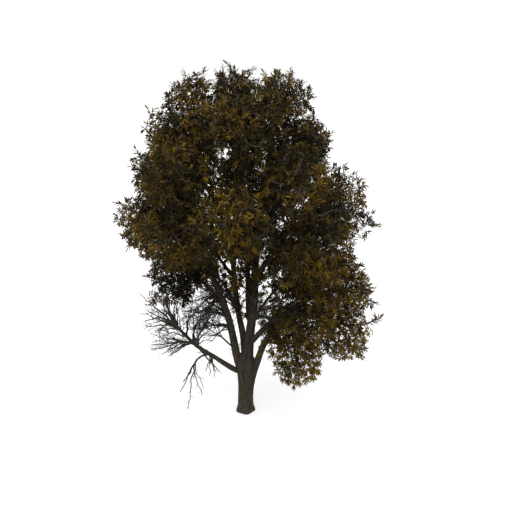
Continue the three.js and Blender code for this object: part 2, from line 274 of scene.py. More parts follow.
def closed_ring(first, sides, hub, facing_back=False):
    """Triangles that close the ring of points that starts at one number on a hub."""
    k = np.arange(sides)
    here, there = first + k, first + (k + 1) % sides
    if facing_back:
        here, there = there, here
    return np.stack([here, there, np.full(sides, hub)], -1)


print("two rings of six points are joined by", len(between_rings(2, 6)), "triangles")

# %% Make a tube
# A direction that no limb points in, to start the first ring from, and how long the point of the tip is, in
# radii.
ASIDE = [0.31, 0.95, 0.1]
POINTED = 1.5


def tube(line, radii, sides, closed_foot=False):
    """Points and triangles of a tapering tube that closes to a point at its tip."""
    line = np.asarray(line)
    ways = unit(np.gradient(line, axis=0))
    turns = np.linspace(0, 2 * math.pi, sides, endpoint=False)
    side = unit(np.cross(ways[0], ASIDE))
    points = np.empty((len(line), sides, 3))
    for i, (middle, way) in enumerate(zip(line, ways)):
        side = side - way * (side @ way)
        side = side / math.sqrt(side @ side)
        other = np.array([way[1] * side[2] - way[2] * side[1], way[2] * side[0] - way[0] * side[2],
                          way[0] * side[1] - way[1] * side[0]])
        points[i] = middle + radii[i] * (np.cos(turns)[:, None] * side + np.sin(turns)[:, None] * other)
    points = np.vstack([points.reshape(-1, 3), line[-1] + ways[-1] * radii[-1] * POINTED])
    tip = closed_ring((len(line) - 1) * sides, sides, len(points) - 1)
    faces = np.vstack([between_rings(len(line), sides), tip])
    if closed_foot:
        points = np.vstack([points, line[0]])
        faces = np.vstack([faces, closed_ring(0, sides, len(points) - 1, facing_back=True)])
    return points, faces


pencil = tube([[0, 0, 0], [0, 0, 0.5], [0, 0, 1]], [0.1, 0.1, 0.05], 6)
print("a tube of six sides along three points:", len(pencil[0]), "points,", len(pencil[1]), "triangles")


# %% Turn points and triangles into a mesh
def gather(parts):
    """Several (points, triangles) as one."""
    shift, points, faces = 0, [], []
    for p, f in parts:
        points.append(p)
        faces.append(f + shift)
        shift += len(p)
    return np.vstack(points), np.vstack(faces)


def make_mesh(name, points, faces, materials=(), tints=None):
    """A smooth mesh object from triangles, each with the number of its material."""
    mesh = bpy.data.meshes.new(name)
    mesh.vertices.add(len(points))
    mesh.vertices.foreach_set("co", np.asarray(points, np.float32).ravel())
    mesh.loops.add(faces.size)
    mesh.loops.foreach_set("vertex_index", faces.astype(np.int32).ravel())
    mesh.polygons.add(len(faces))
    mesh.polygons.foreach_set("loop_start", np.arange(0, faces.size, faces.shape[1], dtype=np.int32))
    for material in materials:
        mesh.materials.append(material)
    if tints is not None:
        mesh.polygons.foreach_set("material_index", tints.astype(np.int32))
    mesh.polygons.foreach_set("use_smooth", np.ones(len(faces), bool))
    mesh.update(calc_edges=True)
    piece = bpy.data.objects.new(name, mesh)
    bpy.context.scene.collection.objects.link(piece)
    return piece


print("two of those tubes gathered:", len(gather([pencil, pencil])[1]), "triangles")


# %% [markdown]
# ## The trunk
# The trunk is not a round tube: it spreads into root buttresses at the foot and grows wider than deep under
# the fork. Rays shot outwards from its heart find how far the solid reaches at each height and turn, and that
# gives a smooth trunk of many more sides with the same shape. A rounded top is hidden among the stems.

# %% Measure the trunk all round
# How many heights and turns to measure at, and how far inside the ends the first and the last rays start.
HEIGHTS, TURNS = 40, 56
OFF_THE_END = 0.02


def room_of(node):
    """A solid that can answer where a ray meets it and how near its surface is."""
    points, corners = solid_mesh(node)
    return BVHTree.FromPolygons(points.tolist(), corners.tolist())


trunk_hit = room_of("trunk")
rings = []
for height in np.linspace(0, trunk_top[2], HEIGHTS):
    share = height / trunk_top[2]
    level = min(max(height, OFF_THE_END), trunk_top[2] - OFF_THE_END)
    heart = Vector((share * trunk_line[-1][0], 0, level))
    ring = []
    for k in range(TURNS):
        turn = 2 * math.pi * k / TURNS
        hit = trunk_hit.ray_cast(heart, Vector((math.cos(turn), math.sin(turn), 0)))
        ring.append([hit[0].x, hit[0].y, height])
    rings.append(ring)
rings = np.array(rings)
for _ in range(2):
    rings = (np.roll(rings, 1, 1) + 2 * rings + np.roll(rings, -1, 1)) / 4
    rings[1:-1] = (rings[:-2] + 2 * rings[1:-1] + rings[2:]) / 4
print(f"trunk {np.ptp(rings[0][:, 0]):.2f} m across its foot, {np.ptp(rings[12][:, 0]):.2f} m higher up")

# %% Flare the foot and round the top
# The trunk is made a little slimmer, to leave room for the relief, and wider again towards the ground.
UNDER_BARK, FLARE, FLARE_HEIGHT = 0.96, 0.12, 0.4
for ring in rings:
    rise = min(ring[0, 2] / FLARE_HEIGHT, 1)
    ring[:, :2] *= UNDER_BARK + FLARE * (1 - rise) ** 2
DOME_HEIGHT, DOME_RINGS, CREST = 0.75, 8, 0.005
for step in np.linspace(0.15, 1, DOME_RINGS):
    shrink = math.sqrt(max(1 - step * step, 0.0004))
    top = (rings[HEIGHTS - 1] - trunk_line[-1]) * shrink + trunk_line[-1]
    rings = np.vstack([rings, [top + [0, 0, step * DOME_HEIGHT]]])
flat = rings.reshape(-1, 3)
foot, crest = len(flat), len(flat) + 1
sides = np.vstack([between_rings(len(rings), TURNS), closed_ring(0, TURNS, foot, facing_back=True),
                   closed_ring((len(rings) - 1) * TURNS, TURNS, crest)])
trunk_form = (np.vstack([flat, [0, 0, 0], rings[-1].mean(0) + [0, 0, CREST]]), sides)
print(f"trunk form: {len(sides)} triangles, {np.ptp(rings[0][:, 0]):.2f} m across the flare")

# %% [markdown]
# ## One skin over the thick wood
# Where two stems meet, bark flows from one to the other. Joining the tubes by a boolean would leave a hard
# seam. A voxel remesh wraps all of them in one new skin instead, and a little smoothing rounds the joins. The
# trunk and fork get a finer skin than the stems above, because the bark is coarsest there.

# %% Round the lines of the limbs
POINT_SPACING, FEWEST_POINTS = 0.12, 12


def along_line(line):
    """How far along a line each of its points lies."""
    return np.concatenate([[0], np.cumsum(np.linalg.norm(np.diff(line, axis=0), axis=1))])


def smooth_line(line, radius):
    """A limb's line and radius at evenly spaced points, rounded."""
    along = along_line(line)
    even = np.linspace(0, along[-1], max(FEWEST_POINTS, int(along[-1] / POINT_SPACING)))
    fine = np.stack([np.interp(even, along, line[:, i]) for i in range(3)], 1)
    size = np.interp(even, along, radius)
    for _ in range(3):
        fine[1:-1] = (fine[:-2] + 2 * fine[1:-1] + fine[2:]) / 4
        size[1:-1] = (size[:-2] + 2 * size[1:-1] + size[2:]) / 4
    return fine, size


for name in CARRIES:
    limbs[name]["fine"] = smooth_line(limbs[name]["line"], limbs[name]["radius"])
print("points on all the limbs:", sum(len(limbs[name]["fine"][0]) for name in CARRIES))

# %% Wrap the trunk and stems
THICK = ["leader", "leader_twin", "stem_left", "stem_middle", "stem_right", "bough_right", "bough_low_left"]
SPLIT = 1.15 * trunk_top[2]
THICK_SIDES = 20
# The size of the steps in the skin of the trunk and in that of the stems, and how far the two skins overlap.
FINE_VOXEL, COARSE_VOXEL = 0.016, 0.035
OVERLAP = 0.03
UNDERGROUND, ABOVE_ALL = -1, 99
EASE, EASE_ROUNDS = 0.5, 5


def wrapped(low, high, voxel):
    """The thick wood between two heights under one skin, as points and quads."""
    forms = [trunk_form] + [tube(*limbs[limb]["fine"], THICK_SIDES, closed_foot=True) for limb in THICK]
    block = make_mesh("block", *gather(forms))
    remesh = block.modifiers.new("skin", "REMESH")
    remesh.mode = "VOXEL"
    remesh.voxel_size = voxel
    ease = block.modifiers.new("ease", "SMOOTH")
    ease.factor, ease.iterations = EASE, EASE_ROUNDS
    skin = block.evaluated_get(bpy.context.evaluated_depsgraph_get()).to_mesh()
    points = np.empty(len(skin.vertices) * 3)
    skin.vertices.foreach_get("co", points)
    quads = np.empty(len(skin.loops), np.int32)
    skin.loops.foreach_get("vertex_index", quads)
    points, quads = points.reshape(-1, 3), quads.reshape(-1, 4)
    middle = points[quads][:, :, 2].mean(1)
    quads = quads[(middle >= low) & (middle <= high)]
    used, quads = np.unique(quads, return_inverse=True)
    bpy.data.objects.remove(block)
    return points[used], quads.reshape(-1, 4)


foot_skin = wrapped(UNDERGROUND, SPLIT, FINE_VOXEL)
stem_skin = wrapped(SPLIT - OVERLAP, ABOVE_ALL, COARSE_VOXEL)
print(f"skin: {len(foot_skin[1])} quads low, {len(stem_skin[1])} quads above")

# %% [markdown]
# ## Bark relief
# Old oak bark is a net of long, narrow ridges with furrows between them, and the net is stretched along the
# limb. To put it there, every point of the skin is given its place in the grain: how far across its limb
# and how far along. Smooth noise is read at that place, drawn out along the limb, and the lines where the
# noise crosses its middle value become furrows. Where one stem flows into the next, the bark is pressed
# into a deep fold, which lies where the two are equally near. The points are then moved in or out along
# their normals, deeper on thick wood. The same grain, and the furrows with the folds, are kept on the mesh
# for the bark's material, which paints the furrows and folds darker as painted shade.


# %% Noise from a lattice of chance values
# Large primes turn the numbers of a lattice cell into a chance value that is the same on every computer.
PRIMES = np.array([73856093, 19349663, 83492791])
SEED_PRIME, STIR = 15485863, 1274126177


def noise_at(places, seed):
    """Smooth noise from 0 to 1 at each place, the same on every run."""
    cell = np.floor(places).astype(np.int64)
    part = places - cell
    part = part * part * (3 - 2 * part)
    total = np.zeros(len(places))
    for corner in np.ndindex(2, 2, 2):
        key = (cell + corner) @ PRIMES + seed * SEED_PRIME
        key = (key ^ (key >> 13)) * STIR & 0xFFFFFFFF
        value = ((key ^ (key >> 16)) & 0xFFFF) / 65535
        total += value * np.where(corner, part, 1 - part).prod(1)
    return total


print("noise at three places:", noise_at(np.array([[0, 0, 0], [0.5, 0, 0], [1.0, 0, 0]]), 1).round(2))

# %% Give every limb its grain
# Each row holds a point of a limb, its direction there, two directions across it, how far along the limb the
# point lies, the radius, and the number of the limb.
POINT, ALONG_WAY, SIDE, OVER = slice(0, 3), slice(3, 6), slice(6, 9), slice(9, 12)
DISTANCE, RADIUS, LIMB = 12, 13, slice(14, 15)
grain_rows = []
for number, name in enumerate(CARRIES):
    line, size = limbs[name]["fine"]
    ways, along = unit(np.gradient(line, axis=0)), along_line(line)
    side = unit(np.cross(ways[0], ASIDE))
    for i in range(len(line)):
        side = unit(side - ways[i] * (side @ ways[i]))
        over = np.cross(ways[i], side)
        grain_rows.append(np.concatenate([line[i], ways[i], side, over, [along[i], size[i], number]]))
grain_rows = np.array(grain_rows)
grain_tree = kdtree.KDTree(len(grain_rows))
for i, row in enumerate(grain_rows):
    grain_tree.insert(row[POINT], i)
grain_tree.balance()
# Each limb reads another part of the noise, so that no two limbs have the same bark.
EACH_LIMB_APART = [3.1, 5.7, 2.3]


def grain_of(points):
    """Across, over and along the limb for each point, and the limb's radius there."""
    row = grain_rows[[grain_tree.find(p)[1] for p in points.tolist()]]
    rel = points - row[:, POINT]
    place = [np.einsum("ij,ij->i", rel, row[:, way]) for way in (SIDE, OVER, ALONG_WAY)]
    place[2] = place[2] + row[:, DISTANCE]
    return np.stack(place, 1) + row[:, LIMB] * EACH_LIMB_APART, row[:, RADIUS]


print("grain known at", len(grain_rows), "places along the limbs")

# %% Cut the furrows
# The ridges on a stout limb and the broad flutes of the wood under them, in metres.
RIDGE_WIDTH, RIDGE_LENGTH, STOUT_RADIUS = 0.055, 0.4, 0.25
FLUTE_WIDTH, FLUTE_LENGTH = 0.17, 1.7
# How far the furrows wander sideways, and over what length.
WANDER, WANDER_SIZE = [0.06, 0.06, 0.0], [0.3, 0.3, 0.5]
# The long cracks, the short ones that cross them and the plates between, as parts of the noise.
CRACK_WIDTH, CROSS_WIDTH, CROSS_DEPTH = 0.22, 0.14, 0.5
CROSS_SQUEEZE, PLATE_SQUEEZE = [1.3, 1.3, 2.4], [2.6, 2.6, 3.1]
PLATE_HEIGHT, FLUTE_HEIGHT = 0.35, 1.6


def furrows(grain, radius):
    """How deep in a furrow each point lies, from 0 to 1, and the height of the relief there."""
    width = RIDGE_WIDTH * np.clip((radius / STOUT_RADIUS) ** 0.5, 0.5, 1.2)[:, None]
    wander = (noise_at(grain / WANDER_SIZE, 5) - 0.5)[:, None] * WANDER
    place = (grain + wander) / (width * [1, 1, RIDGE_LENGTH / RIDGE_WIDTH])
    crack = np.exp(-(((2 * noise_at(place, 1) - 1) / CRACK_WIDTH) ** 2))
    cross = np.exp(-(((2 * noise_at(place * CROSS_SQUEEZE, 2) - 1) / CROSS_WIDTH) ** 2)) * CROSS_DEPTH
    plates = noise_at(place * PLATE_SQUEEZE, 3)
    flutes = noise_at(grain / [FLUTE_WIDTH, FLUTE_WIDTH, FLUTE_LENGTH], 4) - 0.5
    furrow = np.maximum(crack, cross)
    return furrow, plates * PLATE_HEIGHT - furrow + flutes * FLUTE_HEIGHT


share_cut = (furrows(*grain_of(foot_skin[0]))[0] > 0.5).mean()
print(f"furrows cover {share_cut:.0%} of the trunk")

# %% Press in the folds
# The folds begin a little above the ground and reach their full depth further up, all in metres.
FOLD_WIDTH, FOLD_DEPTH = 0.035, 0.03
FOLDS_BEGIN, FOLDS_DEEPEN = 0.7, 1.1


def folds(points):
    """How deep each point lies in a fold, where one stem flows into the next, from 0 to 1."""
    gaps = []
    for limb in THICK:
        line, size = limbs[limb]["fine"]
        ways = unit(np.gradient(line, axis=0))
        near = ((points[:, None] - line[None]) ** 2).sum(2).argmin(1)
        rel = points - line[near]
        rel = rel - np.einsum("ij,ij->i", rel, ways[near])[:, None] * ways[near]
        gaps.append(np.linalg.norm(rel, axis=1) - size[near])
    first, second = np.sort(gaps, axis=0)[:2]
    rise = np.clip((points[:, 2] - FOLDS_BEGIN) / FOLDS_DEEPEN, 0, 1)
    return np.exp(-(((second - first) / FOLD_WIDTH) ** 2)) * rise


print(f"deepest fold on the trunk: {folds(foot_skin[0]).max() * FOLD_DEPTH * 1000:.0f} mm")

# %% Put the relief on the skin
# The relief's depth as a share of the limb's radius, its limits in metres, and the height of calm bark at the
# ground, where the flat cut has to stay clean.
RELIEF_SHARE, RELIEF_LEAST, RELIEF_MOST = 0.045, 0.0012, 0.011
CALM_GROUND = 0.05
THIN_SIDES = 10


def barked(name, points, faces):
    """A skin with its relief, which keeps its grain, and its furrows and folds for the material's painted
    shade.
    """
    piece = make_mesh(name, points, faces)
    mesh = piece.data
    normals = np.empty(len(points) * 3)
    mesh.vertex_normals.foreach_get("vector", normals)
    grain, radius = grain_of(points)
    furrow, height = furrows(grain, radius)
    fold = folds(points)
    # The folds are kept with the furrows, and the material paints both darker as painted shade.
    furrow = np.maximum(furrow, fold)
    depth = np.clip(RELIEF_SHARE * radius, RELIEF_LEAST, RELIEF_MOST)
    off_ground = np.clip(points[:, 2] / CALM_GROUND, 0, 1)
    moved = points + normals.reshape(-1, 3) * (height * depth * off_ground - fold * FOLD_DEPTH)[:, None]
    moved[:, 2] = np.maximum(moved[:, 2], 0)
    mesh.vertices.foreach_set("co", moved.astype(np.float32).ravel())
    for kind, label, values in (("FLOAT_VECTOR", "grain", grain), ("FLOAT", "furrow", furrow)):
        store = mesh.attributes.new(label, kind, "POINT").data
        field = "vector" if kind == "FLOAT_VECTOR" else "value"
        store.foreach_set(field, values.astype(np.float32).ravel())
    mesh.update()
    return piece


def halved(quads):
    """Each four-sided face as two triangles."""
    return np.vstack([quads[:, [0, 1, 2]], quads[:, [0, 2, 3]]])


thin = [tube(*limbs[n]["fine"], THIN_SIDES) for n in CARRIES if n not in THICK]
trunk_bark = barked("bark_trunk", foot_skin[0], halved(foot_skin[1]))
bough_bark = barked("bark_boughs", *gather([(stem_skin[0], halved(stem_skin[1])), *thin]))
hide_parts("trunk", *[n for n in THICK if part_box(n)[0].z < SPLIT])
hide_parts(*CARRIES)
for piece in (trunk_bark, bough_bark):
    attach(piece, "root")
    print(piece.name, len(piece.data.polygons), "triangles")

# %% [markdown]
# ## Bark material
# The bark is a dark grey-brown. Long soft streaks run up it, some greenish with algae and some reddish where
# plates have flaked, and the furrows and folds are painted darker, as painted shade. One Principled shader
# takes its colour from noise read in the grain's own coordinates, so that every streak follows its limb, and
# from the furrows and folds kept on the mesh, which give the painted shade. Fine noise through a bump node
# gives the flaky surface that the mesh is too coarse to hold.


# %% Start a material
def colour(red, green, blue):
    """A colour given as on a screen, turned into light."""
    light = [((v / 255 + 0.055) / 1.055) ** 2.4 if v > 10 else v / 255 / 12.92 for v in (red, green, blue)]
    return (*light, 1)


def new_material(name, roughness, specular):
    """A material, with its nodes, its links and its shader."""
    material = bpy.data.materials.new(name)
    material.use_nodes = True
    nodes, links = material.node_tree.nodes, material.node_tree.links
    shader = nodes["Principled BSDF"]
    shader.inputs["Roughness"].default_value = roughness
    shader.inputs["Specular IOR Level"].default_value = specular
    return material, nodes, links, shader


print("middle grey as light:", round(colour(128, 128, 128)[0], 3))


# %% Mix the bark
# Noise for plates, for weather and for flakes: its scale, its stretch along the limb, and its detail.
PLATES, WEATHER, FLAKES = (24, 0.13, 4), (5, 0.12, 2), (60, 0.3, 5)
# Tones at places along the noise: those of the plates, and tints that the weather lays over them.
PLATE_TONES = [(0.32, (78, 73, 65)), (0.55, (104, 98, 89)), (0.75, (136, 131, 121))]
WEATHER_TONES = [(0.38, (240, 216, 204)), (0.5, (230, 228, 220)), (0.64, (218, 226, 202))]
# The painted shade in the furrows and folds: where it starts along the furrow mask, and its dark tone.
FURROW_SHADE_RAMP = [(0.2, (0, 0, 0)), (1.0, (200, 200, 200))]
FURROW_SHADE_TONE = (46, 40, 33)
FLAKE_STRENGTH, FLAKE_DEPTH = 0.6, 0.01


def bark_material():
    """The bark's material, which reads the grain and the furrows kept on the mesh."""
    material, nodes, links, shader = new_material("oak_bark", 0.93, 0.2)

    def kept(label):
        node = nodes.new("ShaderNodeAttribute")
        node.attribute_name = label
        return node

    def streaks(scale, stretch, detail):
        squeeze = nodes.new("ShaderNodeMapping")
        squeeze.inputs["Scale"].default_value = (scale, scale, scale * stretch)
        pattern = nodes.new("ShaderNodeTexNoise")
        pattern.inputs["Scale"].default_value = 1.0
        pattern.inputs["Detail"].default_value = detail
        links.new(kept("grain").outputs["Vector"], squeeze.inputs["Vector"])
        links.new(squeeze.outputs["Vector"], pattern.inputs["Vector"])
        return pattern.outputs["Fac"]

    def blend(kind, share, under, over):
        mix = nodes.new("ShaderNodeMix")
        mix.data_type, mix.blend_type = "RGBA", kind
        for socket, value in ((mix.inputs[0], share), (mix.inputs[6], under), (mix.inputs[7], over)):
            if isinstance(value, (tuple, float)):
                socket.default_value = value
            else:
                links.new(value, socket)
        return mix.outputs[2]

    def ramp(value, stops):
        band = nodes.new("ShaderNodeValToRGB")
        while len(band.color_ramp.elements) < len(stops):
            band.color_ramp.elements.new(0.5)
        for element, (place, tone) in zip(band.color_ramp.elements, stops):
            element.position, element.color = place, colour(*tone)
        links.new(value, band.inputs["Fac"])
        return band.outputs["Color"]

    plates, weather = ramp(streaks(*PLATES), PLATE_TONES), ramp(streaks(*WEATHER), WEATHER_TONES)
    toned = blend("MULTIPLY", 1.0, plates, weather)
    # Painted shade: the furrows and folds are darkened towards the furrow shade tone.
    furrow_shade = ramp(kept("furrow").outputs["Fac"], FURROW_SHADE_RAMP)
    links.new(blend("MIX", furrow_shade, toned, colour(*FURROW_SHADE_TONE)), shader.inputs["Base Color"])
    bump = nodes.new("ShaderNodeBump")
    bump.inputs["Strength"].default_value = FLAKE_STRENGTH
    bump.inputs["Distance"].default_value = FLAKE_DEPTH
    links.new(streaks(*FLAKES), bump.inputs["Height"])
    links.new(bump.outputs["Normal"], shader.inputs["Normal"])
    return material


oak_bark = bark_material()
for piece in (trunk_bark, bough_bark):
    piece.data.materials.append(oak_bark)
print("bark mixed")

# %% [markdown]
# ## Fill each mass with places to reach
# A crown is shaped by light: every shoot ends where there is light left for it. So the ends come first. Some
# lie just under the corners of a solid mass, which keeps its outline, and a few more lie behind each corner
# that stands out, so that a tip is a tuft and not a single shoot. The rest are scattered inside, evenly
# spaced and denser towards the outside of the crown. Where the crown is open, a straight shaft through it is
# kept clear of ends, and the sky shows through. A limb that can be seen through the crown has such a lane all
# along it.

# %% Know the room of each mass
SEED = 20
rng = np.random.default_rng(SEED)


def depth_in(room, place):
    """How deep a place lies inside a room; negative outside it."""
    near, normal, _, distance = room.find_nearest(place)
    return distance if (Vector(place) - near).dot(normal) < 0 else -distance


rooms = {mass: room_of(mass) for mass in MASSES}
boxes = {mass: np.array(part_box(mass)) for mass in MASSES}


def beside_another(place, mass, gap):
    """Whether a place on one mass's surface lies against another mass."""
    for other, room in rooms.items():
        low, high = boxes[other]
        if other != mass and (place > low - gap).all() and (place < high + gap).all():
            if depth_in(room, place) > -gap:
                return True
    return False


heart_depth = depth_in(rooms["foliage_crown_top"], middle_of("foliage_crown_top"))
print(f"{len(rooms)} rooms; the middle of the crown's top mass lies {heart_depth:.2f} m inside it")

# %% Keep gaps of sky and lanes clear
# Where the tree is looked at from, and the gaps of sky seen from there: for each one, a place that it passes,
# in parts of the tree's height, and its radius in metres.
EYE = np.array([0.032, -1.468, 0.9855]) * HEIGHT
SKY_GAPS = [((-0.049, 0, 0.772), 0.18), ((-0.068, 0, 0.775), 0.14), ((-0.038, 0, 0.79), 0.14),
            ((0.06, 0, 0.856), 0.15), ((0.147, 0, 0.636), 0.22), ((0.17, 0, 0.65), 0.16),
            ((0.096, -0.063, 0.459), 0.2), ((-0.061, -0.063, 0.498), 0.18)]
# Limbs that stand clear of the leaves in front of them, and how wide a lane each one has.
SHOWN_LIMBS = {"bough_front_right": 0.16}


def off_the_gaps(places):
    """Which places lie outside every gap of sky."""
    clear = np.ones(len(places), bool)
    for share, radius in SKY_GAPS:
        middle = np.array(share) * HEIGHT
        way = unit(middle - EYE)
        rel = places - middle
        clear &= np.linalg.norm(rel - (rel @ way)[:, None] * way, axis=1) > radius
    for limb, lane in SHOWN_LIMBS.items():
        for point in limbs[limb]["fine"][0]:
            way = unit(EYE - point)
            rel = places - point
            ahead = rel @ way
            clear &= (ahead < 0) | (np.linalg.norm(rel - ahead[:, None] * way, axis=1) > lane)
    return clear


print(len(SKY_GAPS), "gaps of sky, and", len(SHOWN_LIMBS), "limb that shows through the crown")

# %% Find the ends at the corners
CROWN_HEART = np.array([0.0125, 0.0125, 0.6]) * HEIGHT
CROWN_SPREAD = np.array([0.345, 0.315, 0.4]) * HEIGHT
# From this share of the way out, a place counts as the outside of the crown.
OUTSIDE = 0.9
# How near another mass a covered corner is, and how far under a corner its end lies, in metres.
TOUCHING, UNDER_CORNER = 0.1, 0.1
# A corner stands out when it is this much further from the middle than most. Ends are set at these distances
# behind it, in a tuft that widens.
STANDS_OUT = 1.25
BEHIND_TIPS = (0.15, 0.25, 0.4, 0.55, 0.75)
TUFT_WIDTH, TUFT_SPREAD = 0.05, 0.15


def how_far_out(places):
    """How far out in the crown places lie: 0 at its heart and about 1 at its outline."""
    return np.linalg.norm((places - CROWN_HEART) / CROWN_SPREAD, axis=-1)


def corner_ends(mass):
    """Ends just under the open corners of a mass, and more behind each corner that stands out from it."""
    corners = np.array([p for p in np.unique(solid_mesh(mass)[0].round(4), axis=0)
                        if not beside_another(p, mass, TOUCHING) or how_far_out(p) > OUTSIDE])
    inward = middle_of(mass) - corners
    far = np.linalg.norm(inward, axis=1)
    inward = inward / far[:, None]
    tips = far > STANDS_OUT * np.median(far)
    found = [corners + inward * UNDER_CORNER]
    for step in BEHIND_TIPS:
        spread = rng.normal(0, TUFT_WIDTH + step * TUFT_SPREAD, (tips.sum(), 3))
        found.append(corners[tips] + inward[tips] * step + spread)
    return np.vstack(found)


print(f"the top of the crown lies {how_far_out(np.array([0, 0, HEIGHT])):.2f} of the way out")

# %% Scatter the other ends
ENDS_PER_M3 = 28.0
# How deep inside the mass an end lies at least, in metres.
INSET = 0.12
# Masses with fewer scattered ends than the others, and masses that lose ends of both kinds, as shares.
THINNED = {"foliage_middle_right": 0.7, "foliage_lower_right_foot": 0.8, "foliage_shoulder_left": 0.85}
SPARSE = {"foliage_stem_clump": 0.35}
# Ends that hang just below a mass: how many, and the space that they fill, in shares of the mass's box.
HANGING = {"foliage_lower_left": (70, (0.1, 0.2, -0.1), (0.8, 0.8, 0.15))}
FEWEST_ENDS, TRIES_PER_END = 12, 8
# The least spacing of two ends, as a share of the side of the cube of air that each one has.
SPACED = 0.7
# The chance that an end is kept grows outwards, from a least chance at the heart of the crown.
CHANCE_GROWTH, CHANCE_START, LEAST_CHANCE = 1.3, 0.15, 0.25


def scattered_ends(mass, density):
    """Evenly spaced ends inside one mass, denser towards the outside of the crown."""
    points, corners = solid_mesh(mass)
    a, b, c = (points[corners[:, k]] for k in range(3))
    volume = abs(np.einsum("ij,ij->i", a, np.cross(b, c)).sum() / 6)
    wanted = max(FEWEST_ENDS, int(volume * density))
    low, high = boxes[mass]
    places = low + rng.random((wanted * TRIES_PER_END, 3)) * (high - low)
    depth = np.array([depth_in(rooms[mass], p) for p in places.tolist()])
    chance = np.clip(how_far_out(places) * CHANCE_GROWTH - CHANCE_START, LEAST_CHANCE, 1)
    kept = rng.random(len(places)) < chance
    places = places[(depth > INSET) & kept]
    spacing = SPACED * (volume / wanted) ** (1 / 3)
    chosen = places[:1]
    for place in places[1:]:
        if len(chosen) < wanted and ((chosen - place) ** 2).sum(1).min() > spacing * spacing:
            chosen = np.vstack([chosen, place])
    return chosen


ends = {}
for mass in MASSES:
    if mass.startswith("foliage_"):
        every = np.vstack([corner_ends(mass), scattered_ends(mass, ENDS_PER_M3 * THINNED.get(mass, 1))])
        if mass in HANGING:
            count, low, high = HANGING[mass]
            shares = rng.uniform(low, high, (count, 3))
            every = np.vstack([every, boxes[mass][0] + shares * np.ptp(boxes[mass], axis=0)])
        every = every[rng.random(len(every)) < SPARSE.get(mass, 1)]
        ends[mass] = every[off_the_gaps(every)]
counts = [len(found) for found in ends.values()]
print("shoot ends:", sum(counts), "and the most in one mass:", max(counts))

# %% [markdown]
# ## The branching rule
# One rule makes every branch. A branch heads for the middle of all the ends it must serve, keeps some of the
# direction it already has, and goes part of the way. There it forks: its ends are split in two, across the
# direction in which they spread the most, in uneven shares, and each fork does the same with its own share
# until one end is left. Thickness follows the old rule that a branch is as thick as all it carries, so
# radii are worked back from the twigs to the bough.


# %% Let the branches fork
# How much a branch keeps its direction, the share of the way that it goes before it forks, how far it bends
# off course, and how unevenly it shares out its ends.
STIFFNESS = 0.55
REACH, REACH_SPREAD = 0.36, 0.2
BEND, LEAST_BEND = 0.045, 0.004
UNEVEN = 0.22


def branch_out(start, way, targets):
    """Fork points from a start to every target: places, each one's parent, and how many ends it serves."""
    places, parents, serves = [start], [-1], [len(targets)]
    waiting = [(0, unit(way), targets)]
    while waiting:
        at, heading, share = waiting.pop()
        here = places[at]
        if len(share) == 1:
            places.append(share[0])
            parents.append(at)
            serves.append(1)
            continue
        to = share.mean(0) - here
        gap = max(np.linalg.norm(to), 1e-6)
        step = gap * (REACH + REACH_SPREAD * rng.random())
        fork = here + unit(heading * STIFFNESS + to / gap) * step + rng.normal(0, BEND * step + LEAST_BEND, 3)
        places.append(fork)
        parents.append(at)
        serves.append(len(share))
        rel = share - fork
        if len(share) > 2:
            spread = np.linalg.eigh(np.cov(rel.T) + np.eye(3) * 1e-9)[1][:, -1]
        else:
            spread = rel[0] - rel[1]
        order = np.argsort(rel @ spread)
        cut = int(round(len(share) * (0.5 + rng.uniform(-UNEVEN, UNEVEN))))
        cut = min(max(cut, 1), len(share) - 1)
        heading = unit(fork - here)
        waiting.append((len(places) - 1, heading, share[order[:cut]]))
        waiting.append((len(places) - 1, heading, share[order[cut:]]))
    return np.array(places), np.array(parents), np.array(serves)


print(f"the larger share of a fork is at most {0.5 + UNEVEN:.0%} of its ends")


# %% Follow the stronger fork
def chains_of(parents, serves):
    """Runs of fork points, each following the stronger fork, from a side branch's foot to its end."""
    strongest = {}
    for i in range(1, len(parents)):
        p = parents[i]
        if p not in strongest or serves[i] > serves[strongest[p]]:
            strongest[p] = i
    chains = []
    for i in range(1, len(parents)):
        if parents[i] == 0 or strongest[parents[i]] != i:
            chain = [parents[i], i]
            while chain[-1] in strongest:
                chain.append(strongest[chain[-1]])
            chains.append(chain)
    return chains


def rounded(line):
    """A line with one more point in every stretch, so that bends are curves."""
    padded = np.vstack([2 * line[0] - line[1], line, 2 * line[-1] - line[-2]])
    between = (9 * (padded[1:-2] + padded[2:-1]) - padded[:-3] - padded[3:]) / 16
    result = np.empty((2 * len(line) - 1, 3))
    result[0::2], result[1::2] = line, between
    return result


print("three points rounded:", rounded(np.array([[0, 0, 0], [1, 0, 0], [1, 1, 0]]))[:, :2].round(2).tolist())

# %% Give the branches their thickness
# A twig's radius and the share of it left at the tip, the least power of the rule, how much thicker than its
# next point a branch's foot may be, and the number of ends up to which a branch is left straight.
TWIG_TIP, TWIG_POINT = 0.007, 0.55
LEAST_POWER = 1.9
FOOT_SWELL = 1.25
STRAIGHT_TWIG = 3


def grow(start, way, girth, targets):
    """Branches from a start to the targets, as (line, radii), and the last stretch to each target."""
    places, parents, serves = branch_out(start, way, targets)
    # The power is chosen so that the branch which serves every end is as thick as the limb that it leaves.
    power = max(math.log(max(len(targets), 9)) / math.log(max(girth / TWIG_TIP, 1.5)), LEAST_POWER)
    radii = np.minimum(TWIG_TIP * serves ** (1 / power), girth)
    branches = []
    for chain in chains_of(parents, serves):
        line, size = places[chain], radii[chain].copy()
        size[0] = min(size[0], size[1] * FOOT_SWELL)
        if serves[chain[1]] > STRAIGHT_TWIG:
            line = rounded(line)
            size = np.interp(np.linspace(0, 1, len(line)), np.linspace(0, 1, len(size)), size)
        size[-1] *= TWIG_POINT
        branches.append((line, size))
    last = np.flatnonzero(serves[1:] == 1) + 1
    return branches, np.hstack([places[parents[last]], places[last]])


STOUT_BRANCH, SLIM_BRANCH = 0.035, 0.016


